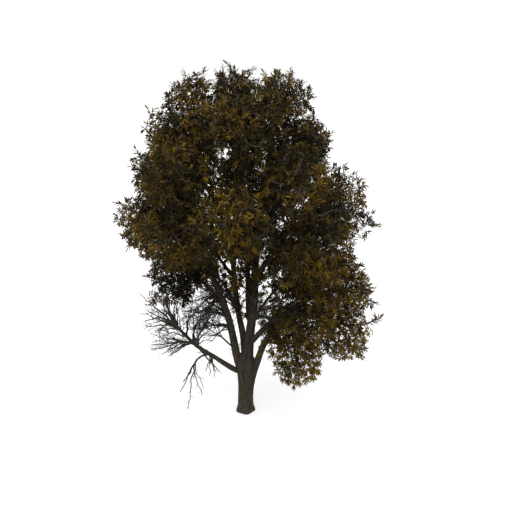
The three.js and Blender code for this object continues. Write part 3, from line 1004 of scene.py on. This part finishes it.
def sides_for(radius):
    """How many sides a tube needs at its thickest."""
    return 7 if radius > STOUT_BRANCH else 4 if radius > SLIM_BRANCH else 3


print("sides of tubes 50, 20 and 7 mm in radius:", [sides_for(r) for r in (0.05, 0.02, 0.007)])

# %% [markdown]
# ## Where the branching starts
# A mass that a bough reaches is filled from the bough's tip. The others are filled by a branch that leaves a
# nearby stem at a slant, as a real one would. The table says which limb that is, and how far up it to start
# looking. The place itself is found by trying every point of the limb for the most natural slant.

# %% Choose the feet
FED_FROM = {
    "foliage_crown_top_back": ("leader_twin", 0.6), "foliage_crown_top_front": ("leader_twin", 0.6),
    "foliage_upper_left": ("stem_left", 0.6), "foliage_upper_right": ("leader", 0.6),
    "foliage_upper_back_right": ("leader_twin", 0.5), "foliage_upper_front_left": ("stem_left", 0.5),
    "foliage_upper_front_right": ("leader", 0.5), "foliage_shoulder_left": ("stem_left", 0.5),
    "foliage_middle_front_right": ("bough_front_right", 0.2),
    "foliage_lower_right_inner": ("stem_right", 0.6), "foliage_lower_right_foot": ("stem_right", 0.85),
    "foliage_lower_back": ("bough_back", 0.3),
}
NATURAL_SLANT = 0.72
SLANT_MATTERS, NEARNESS_MATTERS = 3, 0.25


def slanting_foot(limb, lowest, mass):
    """Where on a limb, above a lowest share of it, a branch would leave at a natural slant for a mass."""
    line, size = limbs[limb]["fine"]
    ways = unit(np.gradient(line, axis=0))
    to = middle_of(mass) - line
    gap = np.linalg.norm(to, axis=1)
    slant = np.einsum("ij,ij->i", to / gap[:, None], ways)
    cost = np.abs(slant - NATURAL_SLANT) * SLANT_MATTERS + gap * NEARNESS_MATTERS
    first = int(lowest * len(line))
    i = first + int(np.argmin(cost[first:]))
    return line[i], unit(ways[i] + to[i] / gap[i]), size[i]


def limb_end(limb):
    """The end of a limb, its direction and its radius there."""
    line, size = limbs[limb]["fine"]
    return line[-1], unit(line[-1] - line[-3]), size[-1]


def foot_of(mass):
    """Where the branching of a mass starts, its direction, and the radius there."""
    if mass in FED_FROM:
        return slanting_foot(*FED_FROM[mass], mass)
    return limb_end(next(limb for limb, (_, carried) in CARRIES.items() if carried == mass))


print(len(FED_FROM), "masses are fed from the side of a limb, and", len(ends) - len(FED_FROM), "from its end")

# %% [markdown]
# ## Twig materials
# Live oak twigs are grey-brown with a paler skin where the light reaches them, and the dead ones on the low
# bough have weathered to a plain dark grey. A twig is too thin for a pattern to show on it, so each run of
# twig takes one of a few plain tones.

# %% Mix the twig tones
TWIG_TONES = {"twig_brown": (78, 68, 60), "twig_grey": (118, 110, 104), "twig_pale": (146, 138, 130),
              "twig_dark": (52, 45, 38)}
DEAD_TONES = {"dead_grey": (92, 87, 82), "dead_dark": (70, 65, 60), "dead_pale": (120, 115, 110)}


def plain_tones(table, roughness, specular):
    """One plain material for each tone of a table."""
    made = []
    for name, tone in table.items():
        material, _, _, shader = new_material(name, roughness, specular)
        shader.inputs["Base Color"].default_value = colour(*tone)
        made.append(material)
    return made


live_twigs = plain_tones(TWIG_TONES, 0.85, 0.2)
dead_twigs = plain_tones(DEAD_TONES, 0.9, 0.15)
print(len(live_twigs), "live tones and", len(dead_twigs), "dead ones")


# %% Grow the branches of every leafy mass
TWIG_SHARES = [0.34, 0.28, 0.12, 0.26]


def put_in_tree(piece, nodes):
    """Fixes a piece to the tree, and hides the solids that it stands for."""
    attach(piece, "root")
    if nodes:
        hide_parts(*nodes)


def twig_piece(name, branches, materials, chances, slot, *nodes):
    """All the branches of one mass as one mesh, and the number of its triangles."""
    tubes = [tube(line, size, sides_for(size[0])) for line, size in branches]
    tones = rng.choice(len(materials), len(tubes), p=chances)
    piece = make_mesh(name, *gather(tubes), materials, np.repeat(tones, [len(t[1]) for t in tubes]))
    put_in_tree(piece, nodes)
    return len(piece.data.polygons)


sprays = {}
total = 0
for mass in ends:
    branches, sprays[mass] = grow(*foot_of(mass), ends[mass])
    total += twig_piece(mass.replace("foliage_", "twigs_"), branches, live_twigs, TWIG_SHARES, "bark", mass)
print(f"live twigs: {total} triangles")

# %% [markdown]
# ## Dead wood
# The low bough on the left and the thicket beside the left stem are dead. With no leaves to weigh them down
# and no new growth, their shoots show the plan of a branch clearly: long whips that fan out from the bough,
# with finer whips off both sides at a steady slant, and finer ones again off those. So a second rule grows
# them. A main whip is a curve from the bough to a far corner of the mass. It leaves where it can do so at a
# natural slant, so those for the near corners leave first. Side shoots stop where they would leave the dead
# masses.


# %% Grow one whip
# The spacing of a whip's points and the radius of its tip, in metres, how it turns up towards its end, how
# crooked it is, and how its thickness falls off.
WHIP_STEP, FEWEST_WHIP_POINTS = 0.17, 4
WHIP_TIP = 0.009
TURNS_UP = [0, 0, 0.15]
CROOKED = 0.02
WHIP_TAPER = 0.9


def whip(start, way, goal, girth, tip=WHIP_TIP):
    """A curving whip from a start to a goal, as a line and its radii."""
    count = max(FEWEST_WHIP_POINTS, round(np.linalg.norm(goal - start) / WHIP_STEP))
    line = swing(start, way, goal, unit(unit(goal - start) + TURNS_UP), count)
    line[1:-1] += rng.normal(0, CROOKED, (count - 2, 3))
    return line, tip + (girth - tip) * np.linspace(1, 0, count) ** WHIP_TAPER


print(f"a whip has a point every {WHIP_STEP * 1000:.0f} mm and a tip {WHIP_TIP * 1000:.0f} mm in radius")

# %% Set side shoots along a whip
# The least and the most slant in radians, and a shoot's radius at its foot, its growth for each metre of
# length and its radius at the tip.
SHOOT_SLANT = (0.6, 1.05)
SHOOT_FOOT, SHOOT_GROWTH, SHOOT_TIP = 0.007, 0.018, 0.006
LONG_SHOOT, LONG_STEPS, SHORT_STEPS = 0.3, 4, 2
# How much a shoot bends at each step, how much it follows its whip, and how the sides wander round the whip.
SHOOT_BEND, FOLLOWS_WHIP = 0.13, 0.06
SIDE_WANDER = 0.35
# The gap between the shoots of a shoot, and their length, as shares of its own.
FINER_GAP, FINER_LENGTH = 0.8, 0.5
# How much the first gap, the other gaps and the lengths vary, and how shoots get shorter towards the tip.
FIRST_GAP, OTHER_GAPS, LENGTHS = (0.7, 1.6), (0.6, 1.4), (0.55, 1.15)
SHARE_LEFT, SHARE_KEPT = 0.5, 0.45
# How many gaps before the tip the shoots end, and the share of its parent's radius that a shoot may have.
LAST_GAP, WITHIN_LIMB = 0.4, 0.8


def side_shoots(line, size, allowed, gap, length, level, wood, bare_foot=0.0):
    """Finer whips off both sides of a whip, added to the list of wood, and finer ones off those."""
    along = along_line(line)
    ways = unit(np.gradient(line, axis=0))
    side, hand = unit(np.cross(ways[0], rng.normal(0, 1, 3))), 1
    place = max(gap * rng.uniform(*FIRST_GAP), bare_foot * along[-1])
    while place < along[-1] - LAST_GAP * gap:
        i = min(int(np.searchsorted(along, place)), len(line) - 1)
        share = (place - along[i - 1]) / (along[i] - along[i - 1])
        shoot = [line[i - 1] * (1 - share) + line[i] * share]
        side = unit(side - ways[i] * (side @ ways[i]) + rng.normal(0, SIDE_WANDER, 3))
        slant = rng.uniform(*SHOOT_SLANT)
        heading = unit(ways[i] * math.cos(slant) + side * hand * math.sin(slant))
        reach = min(length, SHARE_LEFT * (along[-1] - place) + SHARE_KEPT * length) * rng.uniform(*LENGTHS)
        steps = LONG_STEPS if reach > LONG_SHOOT else SHORT_STEPS
        for _ in range(steps):
            heading = unit(heading + ways[i] * FOLLOWS_WHIP + rng.normal(0, SHOOT_BEND, 3))
            shoot.append(shoot[-1] + heading * reach / steps)
            if not allowed(shoot[-1]):
                break
        if allowed(shoot[-1]) or len(shoot) > 2:
            shoot = np.array(shoot)
            length_made = np.linalg.norm(shoot[-1] - shoot[0])
            thick = min(size[i] * WITHIN_LIMB, SHOOT_FOOT + SHOOT_GROWTH * length_made)
            wood.append((shoot, np.linspace(thick, SHOOT_TIP, len(shoot))))
            if level > 1:
                finer = (gap * FINER_GAP, length * FINER_LENGTH, level - 1)
                side_shoots(*wood[-1], allowed, *finer, wood)
        hand = -hand
        place += gap * rng.uniform(*OTHER_GAPS)


def anywhere(place):
    """Lets a shoot grow at any place."""
    return True


print("side shoots leave at", [round(math.degrees(slant)) for slant in SHOOT_SLANT], "degrees")

# %% Say where the dead wood grows
# For each mass, groups of whips: the stretch of limb that they leave, how many go to the mass's far corners
# or where in its box they end, how far they lean towards the limb's own direction, and how stout they are.
DEAD_WOOD = {
    "bare_fan_upper": [(("bough_low_left", 0.8, 1.0), 14, 0.5, 0.024)],
    "bare_fan_lower": [(("bough_low_left", 0.72, 0.85), 4, 0.5, 0.02),
                       (("bough_outer_left", 0.3, 1.0), 8, 0.6, 0.022)],
    "bare_spray_hanging": [(("bough_hanging", 0.8, 1.0), [
        (0.28, 0.4, 0), (0, 0.4, 0.39), (0.93, 0.4, 0.33), (1, 0.6, 0.45), (0.1, 0.7, 0.55)], 0.6, 0.02)],
    "bare_twigs_under_bough": [(("bough_low_left", 0.5, 0.72), [
        (0, 0.5, 0.35), (0.3, 0.5, 0.1), (0.6, 0.4, 0), (0.7, 0.6, 0.2), (1, 0.5, 0.25)], 0.1, 0.02)],
    "bare_thicket": [(("stem_left", 0.33, 0.42), 13, 1.3, 0.026),
                     (("bough_low_left", 0.7, 0.95), 8, 0.5, 0.02),
                     (("bough_thin_left", 0.6, 1.0), 6, 0.5, 0.014),
                     (("bough_lower_left", 0.2, 0.7), 8, 0.6, 0.018)],
}
# The gap between side shoots, their length and their levels, and the bare share of each whip below them.
SIDE_SHOOTS = {"bare_spray_hanging": (0.26, 0.32, 1), "bare_twigs_under_bough": (0.16, 0.2, 1)}
DENSE_SHOOTS = (0.19, 0.85, 3)
BARE_FOOT = 0.25
# How far a shoot may stray out of the dead masses, and the share of the greatest distance from which a corner
# counts as far.
STRAY, FAR_ENOUGH = 0.15, 0.3
# How much chance there is in the place that a whip leaves from.
PLACE_VARIES = 0.4
# Masses whose whips keep a stout tip, with the radius of it.
STOUT_TIPS = {"bare_spray_hanging": 0.017, "bare_twigs_under_bough": 0.013}


def in_dead_wood(place):
    """Whether a place lies in or just beside a dead mass."""
    return any((place > boxes[m][0] - STRAY).all() and (place < boxes[m][1] + STRAY).all()
               and depth_in(rooms[m], place) > -STRAY for m in DEAD_WOOD)


def stretch_of(limb, low, high):
    """Part of a limb, as its points, ways and radii."""
    line, size = limbs[limb]["fine"]
    a, b = int(low * (len(line) - 1)), int(high * (len(line) - 1)) + 1
    return line[a:b], unit(np.gradient(line, axis=0))[a:b], size[a:b]


def far_corners(mass, line, count):
    """Corners of a mass that are far from a limb and from each other."""
    points = np.unique(solid_mesh(mass)[0].round(4), axis=0)
    gap = np.array([np.linalg.norm(line - p, axis=1).min() for p in points])
    points = points[gap > FAR_ENOUGH * gap.max()]
    chosen = [int(rng.integers(len(points)))]
    apart = np.linalg.norm(points - points[chosen[0]], axis=1)
    while len(chosen) < min(count, len(points)):
        chosen.append(int(np.argmax(apart)))
        apart = np.minimum(apart, np.linalg.norm(points - points[chosen[-1]], axis=1))
    return points[chosen]


def leaving_point(goal, line, ways, nearness):
    """Which point of a limb to leave for a goal, with the direction to it and the distance from there."""
    to = goal - line
    far = np.linalg.norm(to, axis=1)
    slant = np.einsum("ij,ij->i", to / far[:, None], ways)
    cost = np.abs(slant - NATURAL_SLANT) + far * nearness + rng.uniform(0, PLACE_VARIES, len(far))
    i = int(np.argmin(cost))
    return i, to[i] / far[i], far[i]


all_goals = [goals for groups in DEAD_WOOD.values() for _, goals, _, _ in groups]
whips = sum(goals if isinstance(goals, int) else len(goals) for goals in all_goals)
print(f"{whips} main whips in {len(DEAD_WOOD)} dead masses")

# %% Grow the dead wood
# How much a whip prefers a near foot to a natural slant, its least radius there, and the shares of the tones.
WHIP_NEARNESS, WHIP_FOOT = 0.3, 0.012
DEAD_SHARES = [0.4, 0.35, 0.25]
total = 0
for mass, groups in DEAD_WOOD.items():
    wood = []
    for stretch, goals, lean, stout in groups:
        line, ways, size = stretch_of(*stretch)
        if isinstance(goals, int):
            goals = far_corners(mass, line, goals)
        else:
            goals = boxes[mass][0] + np.array(goals) * (boxes[mass][1] - boxes[mass][0])
        for goal in goals:
            i, to, far = leaving_point(goal, line, ways, WHIP_NEARNESS)
            girth = min(WITHIN_LIMB * size[i], WHIP_FOOT + stout * far)
            wood.append(whip(line[i], unit(lean * ways[i] + to), goal, girth, STOUT_TIPS.get(mass, WHIP_TIP)))
    for main in list(wood):
        side_shoots(*main, in_dead_wood, *SIDE_SHOOTS.get(mass, DENSE_SHOOTS), wood, bare_foot=BARE_FOOT)
    total += twig_piece(mass.replace("bare_", "dead_"), wood, dead_twigs, DEAD_SHARES, "bare_twigs", mass)
print(f"dead wood: {total} triangles")

# %% [markdown]
# ## Shoots along the limbs
# Between the fork and the crown the limbs are not clean. Short dead spurs stand on the left stem and the low
# bough, and live shoots with a few leaves on the stems to the right. They keep to stretches of limb, so that
# the clear gaps of sky beside the trunk stay clear. Higher up, thin bare branches fan out from the stems on
# their way to the light. Each of them is one of the whips of the dead wood.

# %% Set the dead spurs
# For each stretch of limb: the gap between shoots, their length, and levels.
SPURS = {("stem_left", 0.2, 0.5): (0.16, 0.6, 2), ("bough_low_left", 0.5, 0.95): (0.14, 0.5, 2),
         ("bough_thin_left", 0.3, 1.0): (0.15, 0.4, 2), ("stem_middle", 0.15, 0.4): (0.3, 0.5, 2),
         ("leader", 0.18, 0.35): (0.3, 0.5, 1), ("bough_lower_left", 0.2, 0.9): (0.14, 0.6, 2),
         ("bough_outer_left", 0.3, 1.0): (0.14, 0.4, 2), ("bough_hanging", 0.3, 0.9): (0.2, 0.25, 1)}


def shoots_on(table):
    """All the shoots of a table, as (line, radii)."""
    wood = []
    for stretch, (gap, length, levels) in table.items():
        line, _, size = stretch_of(*stretch)
        side_shoots(line, size, anywhere, gap, length, levels, wood)
    return wood


spurs = shoots_on(SPURS)
print(len(spurs), "dead spurs")

# %% Fan thin branches out from the stems
# For each fan: the stretch that it leaves, the mass whose box measures where it ends, how many branches it
# has, and the low and high corner of the space that they end in, as shares of that box.
THIN_FANS = [
    (("stem_left", 0.38, 0.58), "bare_thicket", 16, (0.1, 0.1, 0.85), (0.95, 0.9, 1.3)),
    (("leader", 0.34, 0.5), "foliage_lower_right_front", 10, (-0.25, 0.1, 0.2), (0.25, 0.8, 1.0)),
    (("stem_middle", 0.3, 0.5), "foliage_stem_clump", 5, (-1.4, 0, 0.2), (-0.2, 1, 1.6)),
]
# How far a branch leans along its stem, its least radius, and its growth for each metre of length.
FAN_LEAN, FAN_FOOT, FAN_GROWTH = 0.8, 0.01, 0.016
# The gap between side shoots, their length and their levels, and the bare share of each branch below them.
FAN_SHOOTS, FAN_BARE_FOOT = (0.2, 0.5, 2), 0.3
fans = []
for stretch, mass, count, low, high in THIN_FANS:
    line, ways, _ = stretch_of(*stretch)
    extent = boxes[mass][1] - boxes[mass][0]
    for goal in boxes[mass][0] + rng.uniform(low, high, (count, 3)) * extent:
        i, to, far = leaving_point(goal, line, ways, 0)
        fans.append(whip(line[i], unit(FAN_LEAN * ways[i] + to), goal, FAN_FOOT + FAN_GROWTH * far))
        side_shoots(*fans[-1], anywhere, *FAN_SHOOTS, fans, bare_foot=FAN_BARE_FOOT)
print(len(fans), "thin branches and their shoots")

# %% Set the live shoots
# As for the spurs. Half of the live shoots are noted down, to get leaves.
LIVE_SHOOTS = {("stem_right", 0.45, 0.8): (0.14, 0.5, 2), ("bough_right", 0.3, 1.0): (0.14, 0.6, 2),
               ("bough_droop", 0.4, 1.0): (0.16, 0.5, 2), ("leader", 0.32, 0.6): (0.16, 0.9, 2),
               ("stem_middle", 0.4, 0.8): (0.18, 0.8, 2), ("stem_left", 0.45, 0.7): (0.15, 0.7, 2),
               ("bough_front_right", 0.1, 0.9): (0.13, 0.9, 2),
               ("bough_low_back_right", 0.2, 1.0): (0.13, 0.7, 2),
               ("leader_twin", 0.3, 0.6): (0.2, 0.7, 2), ("bough_low_back_left", 0.2, 1.0): (0.15, 0.7, 2),
               ("bough_back_right", 0.2, 1.0): (0.15, 0.7, 2), ("bough_back_left", 0.2, 1.0): (0.15, 0.7, 2),
               ("bough_left", 0.2, 1.0): (0.15, 0.7, 2), ("bough_front_left", 0.2, 1.0): (0.15, 0.7, 2),
               ("bough_front", 0.2, 1.0): (0.15, 0.7, 2)}
SPUR_SHARES, LIVE_SHARES = [0.45, 0.35, 0.2], [0.34, 0.3, 0.1, 0.26]
LEAFY_SHARE = 0.5
live = shoots_on(LIVE_SHOOTS)
count = twig_piece("dead_spurs", spurs + fans, dead_twigs, SPUR_SHARES, "bare_twigs")
count += twig_piece("live_shoots", live, live_twigs, LIVE_SHARES, "bark")
leafy = [np.concatenate([line[-2], line[-1]]) for line, _ in live if rng.random() < LEAFY_SHARE]
print(f"shoots along the limbs: {count} triangles, {len(leafy)} of them leafy")

# %% [markdown]
# ## Pale branches among the leaves
# Here and there a longer, paler branch runs up through the leaves close to the outside of the crown, and its
# grey skin catches the light. Each is one whip with a few side shoots, grown by the rule for dead wood from
# the foot of its mass to one of the mass's ends on the outside of the crown.

# %% Grow the pale branches
# How many there are in a mass, how far each one reaches past the shoot's end, its radius at the foot, and its
# growth for each metre of length, all in metres.
PALE_PER_MASS = 4
OVERSHOOT = 0.12
PALE_FOOT, PALE_GROWTH = 0.018, 0.008
# The gap between side shoots, their length and their levels, and the bare share of each branch below them.
PALE_SHOOTS, PALE_BARE_FOOT = (0.34, 0.6, 1), 0.3
PALE_SHARES = [0.05, 0.45, 0.45, 0.05]
pale = []
for mass in ends:
    start, way, girth = foot_of(mass)
    outer = ends[mass][how_far_out(ends[mass]) > OUTSIDE]
    for goal in outer[rng.choice(len(outer), min(PALE_PER_MASS, len(outer)), replace=False)]:
        far = np.linalg.norm(goal - start)
        goal = goal + (goal - start) / far * OVERSHOOT
        thick = min(WITHIN_LIMB * girth, PALE_FOOT + PALE_GROWTH * far)
        pale.append(whip(start, unit(way + unit(goal - start)), goal, thick))
        side_shoots(*pale[-1], anywhere, *PALE_SHOOTS, pale, bare_foot=PALE_BARE_FOOT)
count = twig_piece("pale_branches", pale, live_twigs, PALE_SHARES, "bark")
print(f"pale branches: {count} triangles")

# %% [markdown]
# ## Leaves
# The leaves are narrow and pointed and arch a little towards their tips, in sprays that stand out all round
# the end of a shoot. A leaf could be a picture on a card, but a mesh of four triangles in the leaf's own
# outline needs no picture and stays sharp from close by. Late in the season the leaves have turned from green
# to olive, mustard and bronze, and a whole spray turns at about the same time. So a spray is dealt one plain
# tone, and a leaf of it may have the tone before or after that. Neighbouring sprays tend to get neighbouring
# tones. The tones run from dark to light, and part of the choice is painted light: sprays on the outside of
# the crown get lighter ones, sprays deep inside and in some masses get darker ones as painted shade, and a
# few masses get lighter ones as painted light.

# %% Mix the leaf tones
LEAF_TONES = {
    # The darkest tone, leaf_shade, is painted shade.
    "leaf_shade": (25, 19, 6),
    "leaf_deep_green": (35, 33, 8),
    "leaf_red_brown": (54, 37, 10),
    "leaf_dark_olive": (56, 50, 10),
    "leaf_brown": (72, 54, 12),
    "leaf_olive": (76, 68, 12),
    "leaf_bronze": (98, 73, 13),
    "leaf_green_gold": (104, 89, 17),
    "leaf_orange_brown": (120, 86, 18),
    "leaf_mustard": (136, 112, 26),
}
leaf_materials = plain_tones(LEAF_TONES, 0.6, 0.2)
print(len(leaf_materials), "leaf tones, from dark to light")

# %% Shape one leaf
# Along the leaf, across it and up from it, for a leaf one unit long.
LEAF = np.array([
    [0.0, 0.0, 0.0], [0.32, 0.12, 0.03], [0.68, 0.1, 0.01], [1.0, 0.0, -0.08],
    [0.68, -0.1, 0.01], [0.32, -0.12, 0.03],
])
LEAF_FACES = np.array([[0, 2, 1], [0, 3, 2], [0, 4, 3], [0, 5, 4]])
LEAF_LENGTH, LEAF_SIZES = 0.235, (0.8, 1.15)
print(f"a leaf is {LEAF_LENGTH * 1000:.0f} mm long and {LEAF_LENGTH * np.ptp(LEAF[:, 1]) * 1000:.0f} mm wide")

# %% Set leaves round the end of a shoot
LEAVES_PER_SPRAY = 9
# The leafy end of a shoot in metres, and the turn from one leaf to the next in radians.
LEAFY_LENGTH = 0.42
GOLDEN_TURN = 2.4
# The lowest leaves stand out sideways, and the spread is lost towards the tip.
SPREAD_LOW_DOWN, SPREAD_LOST = 1.2, 0.95
HANGS = [0, 0, -0.06]
FACES_UP, FACES_SPREAD, FACES_TIP = [0, 0, 1.0], 0.5, 0.25
# How much the turns and the spreads of the leaves vary, in radians, and where on their stretch they sit.
TURN_VARIES, SPREAD_VARIES, SEATS = 0.3, 0.14, (0.75, 1.0)


def leaf_sprays(shoots, count):
    """Leaf points, faces and the spray of each face, for sprays round the ends of shoots."""
    n = len(shoots)
    foot, end = shoots[:, :3], shoots[:, 3:]
    way = unit(end - foot)
    length = np.minimum(np.linalg.norm(end - foot, axis=1), LEAFY_LENGTH)[:, None]
    side = unit(np.cross(way, [0.3, 0.2, 0.93]) + 1e-4)
    over = np.cross(way, side)
    phase = rng.uniform(0, 2 * math.pi, n)
    placed = []
    for j in range(count):
        up_shoot = j / max(count - 1, 1)
        turn = (phase + GOLDEN_TURN * j + rng.normal(0, TURN_VARIES, n))[:, None]
        spread = (SPREAD_LOW_DOWN - SPREAD_LOST * up_shoot + rng.normal(0, SPREAD_VARIES, n))[:, None]
        seat = end - way * length * (1 - up_shoot) * rng.uniform(*SEATS, (n, 1))
        point = np.cos(spread) * way + np.sin(spread) * (np.cos(turn) * side + np.sin(turn) * over)
        point = unit(point + HANGS)
        face = unit(rng.normal(0, FACES_SPREAD, (n, 3)) + FACES_UP + way * FACES_TIP)
        across = unit(np.cross(face, point))
        axes = np.stack([point, across, np.cross(point, across)], 1)
        size = LEAF_LENGTH * rng.uniform(*LEAF_SIZES, (n, 1, 1))
        placed.append(seat[:, None] + LEAF[None] * size @ axes)
    points = np.stack(placed, 1).reshape(-1, 3)
    faces = (LEAF_FACES[None] + (np.arange(n * count) * len(LEAF))[:, None, None]).reshape(-1, 3)
    return points, faces, np.repeat(np.arange(n), count * len(LEAF_FACES))


print("a spray has", LEAVES_PER_SPRAY, "leaves and", LEAVES_PER_SPRAY * len(LEAF_FACES), "triangles")

# %% Deal out the tones and hang the leaves
# How turned a spray is, with painted light and shade in it: two sizes of patches in the crown (each with its
# weight, size and seed), chance, how far out the spray is, which paints light on the outside of the crown and
# shade inside it, and painted shade for some masses, where a negative value paints light instead.
PATCHES = ((0.35, 1.1, 11), (0.4, 0.45, 12))
CHANCE, CHANCE_SPREAD = 0.125, 0.12
LEAST_TURNED, TURNED_RANGE = 0.22, 0.56
PAINTED_SHADE_AND_LIGHT = {"leaves_lower_left": 0.2, "leaves_on_limbs": -0.25, "leaves_stem_clump": -0.6,
            "leaves_lower_right_droop": -0.05}
PAINTED_LIGHT_OUTSIDE, NEITHER_IN_NOR_OUT = 0.45, 0.85
SWAY = [-1, 0, 0, 1]


def leaf_piece(name, shoots, *nodes):
    """All the leaves of one mass as one mesh, with a tone for each spray."""
    points, faces, spray = leaf_sprays(shoots, LEAVES_PER_SPRAY)
    place = shoots[:, 3:]
    turning_and_painted_light = sum(weight * noise_at(place / size, seed) for weight, size, seed in PATCHES)
    turning_and_painted_light = turning_and_painted_light + rng.normal(CHANCE, CHANCE_SPREAD, len(shoots))
    # Painted light and shade: lighter tones on the outside of the crown and darker ones inside it, and
    # painted shade for some masses, painted light for others.
    turning_and_painted_light += PAINTED_LIGHT_OUTSIDE * (how_far_out(place) - NEITHER_IN_NOR_OUT) - PAINTED_SHADE_AND_LIGHT.get(name, 0)
    share = np.clip((turning_and_painted_light - LEAST_TURNED) / TURNED_RANGE, 0, 0.999)
    tone = (share * len(leaf_materials)).astype(int)[spray]
    tone += np.repeat(rng.choice(SWAY, len(faces) // len(LEAF_FACES)), len(LEAF_FACES))
    piece = make_mesh(name, points, faces, leaf_materials, np.clip(tone, 0, len(leaf_materials) - 1))
    put_in_tree(piece, nodes)
    return len(faces)


total = sum(leaf_piece(mass.replace("foliage_", "leaves_"), shoots, mass) for mass, shoots in sprays.items())
total += leaf_piece("leaves_on_limbs", np.array(leafy))
print(f"leaves: {total // len(LEAF_FACES)}, {total} triangles")

# %% [markdown]
# ## Studio
# The tree stands on a plain pale floor that runs far beyond it on every side. The floor could be lit by the
# lamps alone, but then it would be greyer than the sky behind it, with a line between the two. So its finish
# shines a little too. It throws no light up under the crown, which stays as dark below as over grass.

# %% Lay the floor
FLOOR_HALF, FLOOR_DROP = 400, 0.002
FLOOR_GREY, FLOOR_GLOW = 0.8, 0.55
corners = [(-FLOOR_HALF, -FLOOR_HALF, 0), (FLOOR_HALF, -FLOOR_HALF, 0), (FLOOR_HALF, FLOOR_HALF, 0),
           (-FLOOR_HALF, FLOOR_HALF, 0)]
floor_mesh = bpy.data.meshes.new("floor")
floor_mesh.from_pydata(corners, [], [(0, 1, 2, 3)])
floor = bpy.data.objects.new("floor", floor_mesh)
floor.location.z = -FLOOR_DROP
floor.visible_diffuse = False
bpy.context.scene.collection.objects.link(floor)
floor_finish, _, _, shader = new_material("pale_floor", 0.9, 0.25)
shader.inputs["Base Color"].default_value = (FLOOR_GREY, FLOOR_GREY, FLOOR_GREY, 1)
shader.inputs["Emission Color"].default_value = (1, 1, 1, 1)
shader.inputs["Emission Strength"].default_value = FLOOR_GLOW
floor.data.materials.append(floor_finish)
floor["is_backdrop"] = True
print(f"floor {2 * FLOOR_HALF} m across")

# %% [markdown]
# ## Light
# The light is soft and comes mostly from above, as on a dull day: the sky is far brighter overhead than at
# the horizon, so that the tops of the masses catch the light and their undersides stay dark. The strength of
# the world's light is worked out from the direction that it comes from, and the camera sees plain white
# instead of it. A weak, wide sun gives the limbs a lighter side.

# %% Light the sky
HORIZON, OVERHEAD = 0.2, 1.6
world = bpy.data.worlds.new("sky")
bpy.context.scene.world = world
world.use_nodes = True
nodes, links = world.node_tree.nodes, world.node_tree.links
seen = nodes["Background"]
seen.inputs["Color"].default_value = (1, 1, 1, 1)
lighting = nodes.new("ShaderNodeBackground")
direction = nodes.new("ShaderNodeTexCoord")
upward = nodes.new("ShaderNodeSeparateXYZ")
links.new(direction.outputs["Generated"], upward.inputs["Vector"])
dome = nodes.new("ShaderNodeMapRange")
dome.inputs["From Min"].default_value = 0.0
dome.inputs["From Max"].default_value = 1.0
dome.inputs["To Min"].default_value = HORIZON
dome.inputs["To Max"].default_value = OVERHEAD
links.new(upward.outputs["Z"], dome.inputs["Value"])
links.new(dome.outputs["Result"], lighting.inputs["Strength"])
ray = nodes.new("ShaderNodeLightPath")
choice = nodes.new("ShaderNodeMixShader")
links.new(ray.outputs["Is Camera Ray"], choice.inputs["Fac"])
links.new(lighting.outputs["Background"], choice.inputs[1])
links.new(seen.outputs["Background"], choice.inputs[2])
links.new(choice.outputs["Shader"], nodes["World Output"].inputs["Surface"])
print("sky from", HORIZON, "at the horizon to", OVERHEAD, "overhead")

# %% Hang the sun
SUN_STRENGTH, SUN_WIDTH = 0.7, math.radians(60)
SUN_TILT = (math.radians(30), math.radians(-10), 0)
sun_data = bpy.data.lights.new("sun", "SUN")
sun_data.energy, sun_data.angle = SUN_STRENGTH, SUN_WIDTH
sun = bpy.data.objects.new("sun", sun_data)
sun.rotation_euler = SUN_TILT
bpy.context.scene.collection.objects.link(sun)
print("sun of strength", SUN_STRENGTH)

# %% [markdown]
# ## Camera
# The camera is in front of the tree, as high as its top, and looks down a little, so that the whole tree is
# seen with room all round. The gaps of sky in the crown were left open along lines from this same place. The
# standard view keeps the tones as they were mixed.

# %% Set up the camera
FIELD_OF_VIEW, LOOKS_DOWN = 49.13, 18.6
FURTHEST_SEEN = 2000
bpy.context.scene.view_settings.view_transform = "Standard"
camera_data = bpy.data.cameras.new("camera")
camera_data.angle = math.radians(FIELD_OF_VIEW)
camera_data.clip_end = FURTHEST_SEEN
camera = bpy.data.objects.new("camera", camera_data)
camera.location = EYE
camera.rotation_euler = (math.radians(90 - LOOKS_DOWN), 0, 0)
bpy.context.scene.collection.objects.link(camera)
bpy.context.scene.camera = camera
print(f"camera {EYE[2]:.1f} m up and {-EYE[1]:.1f} m in front")

# %% [markdown]
# ## Measure and finish
# The leaves and twigs reach a little past the solids, as they do past the tip of a bough. The two boxes are
# written down side by side, to see by how much.

# %% Measure and finish
visual_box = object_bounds()
for label, box in (("solid", SOLID_BOX), ("visual", visual_box)):
    print(label, "box", [[round(x, 2) for x in v] for v in box])
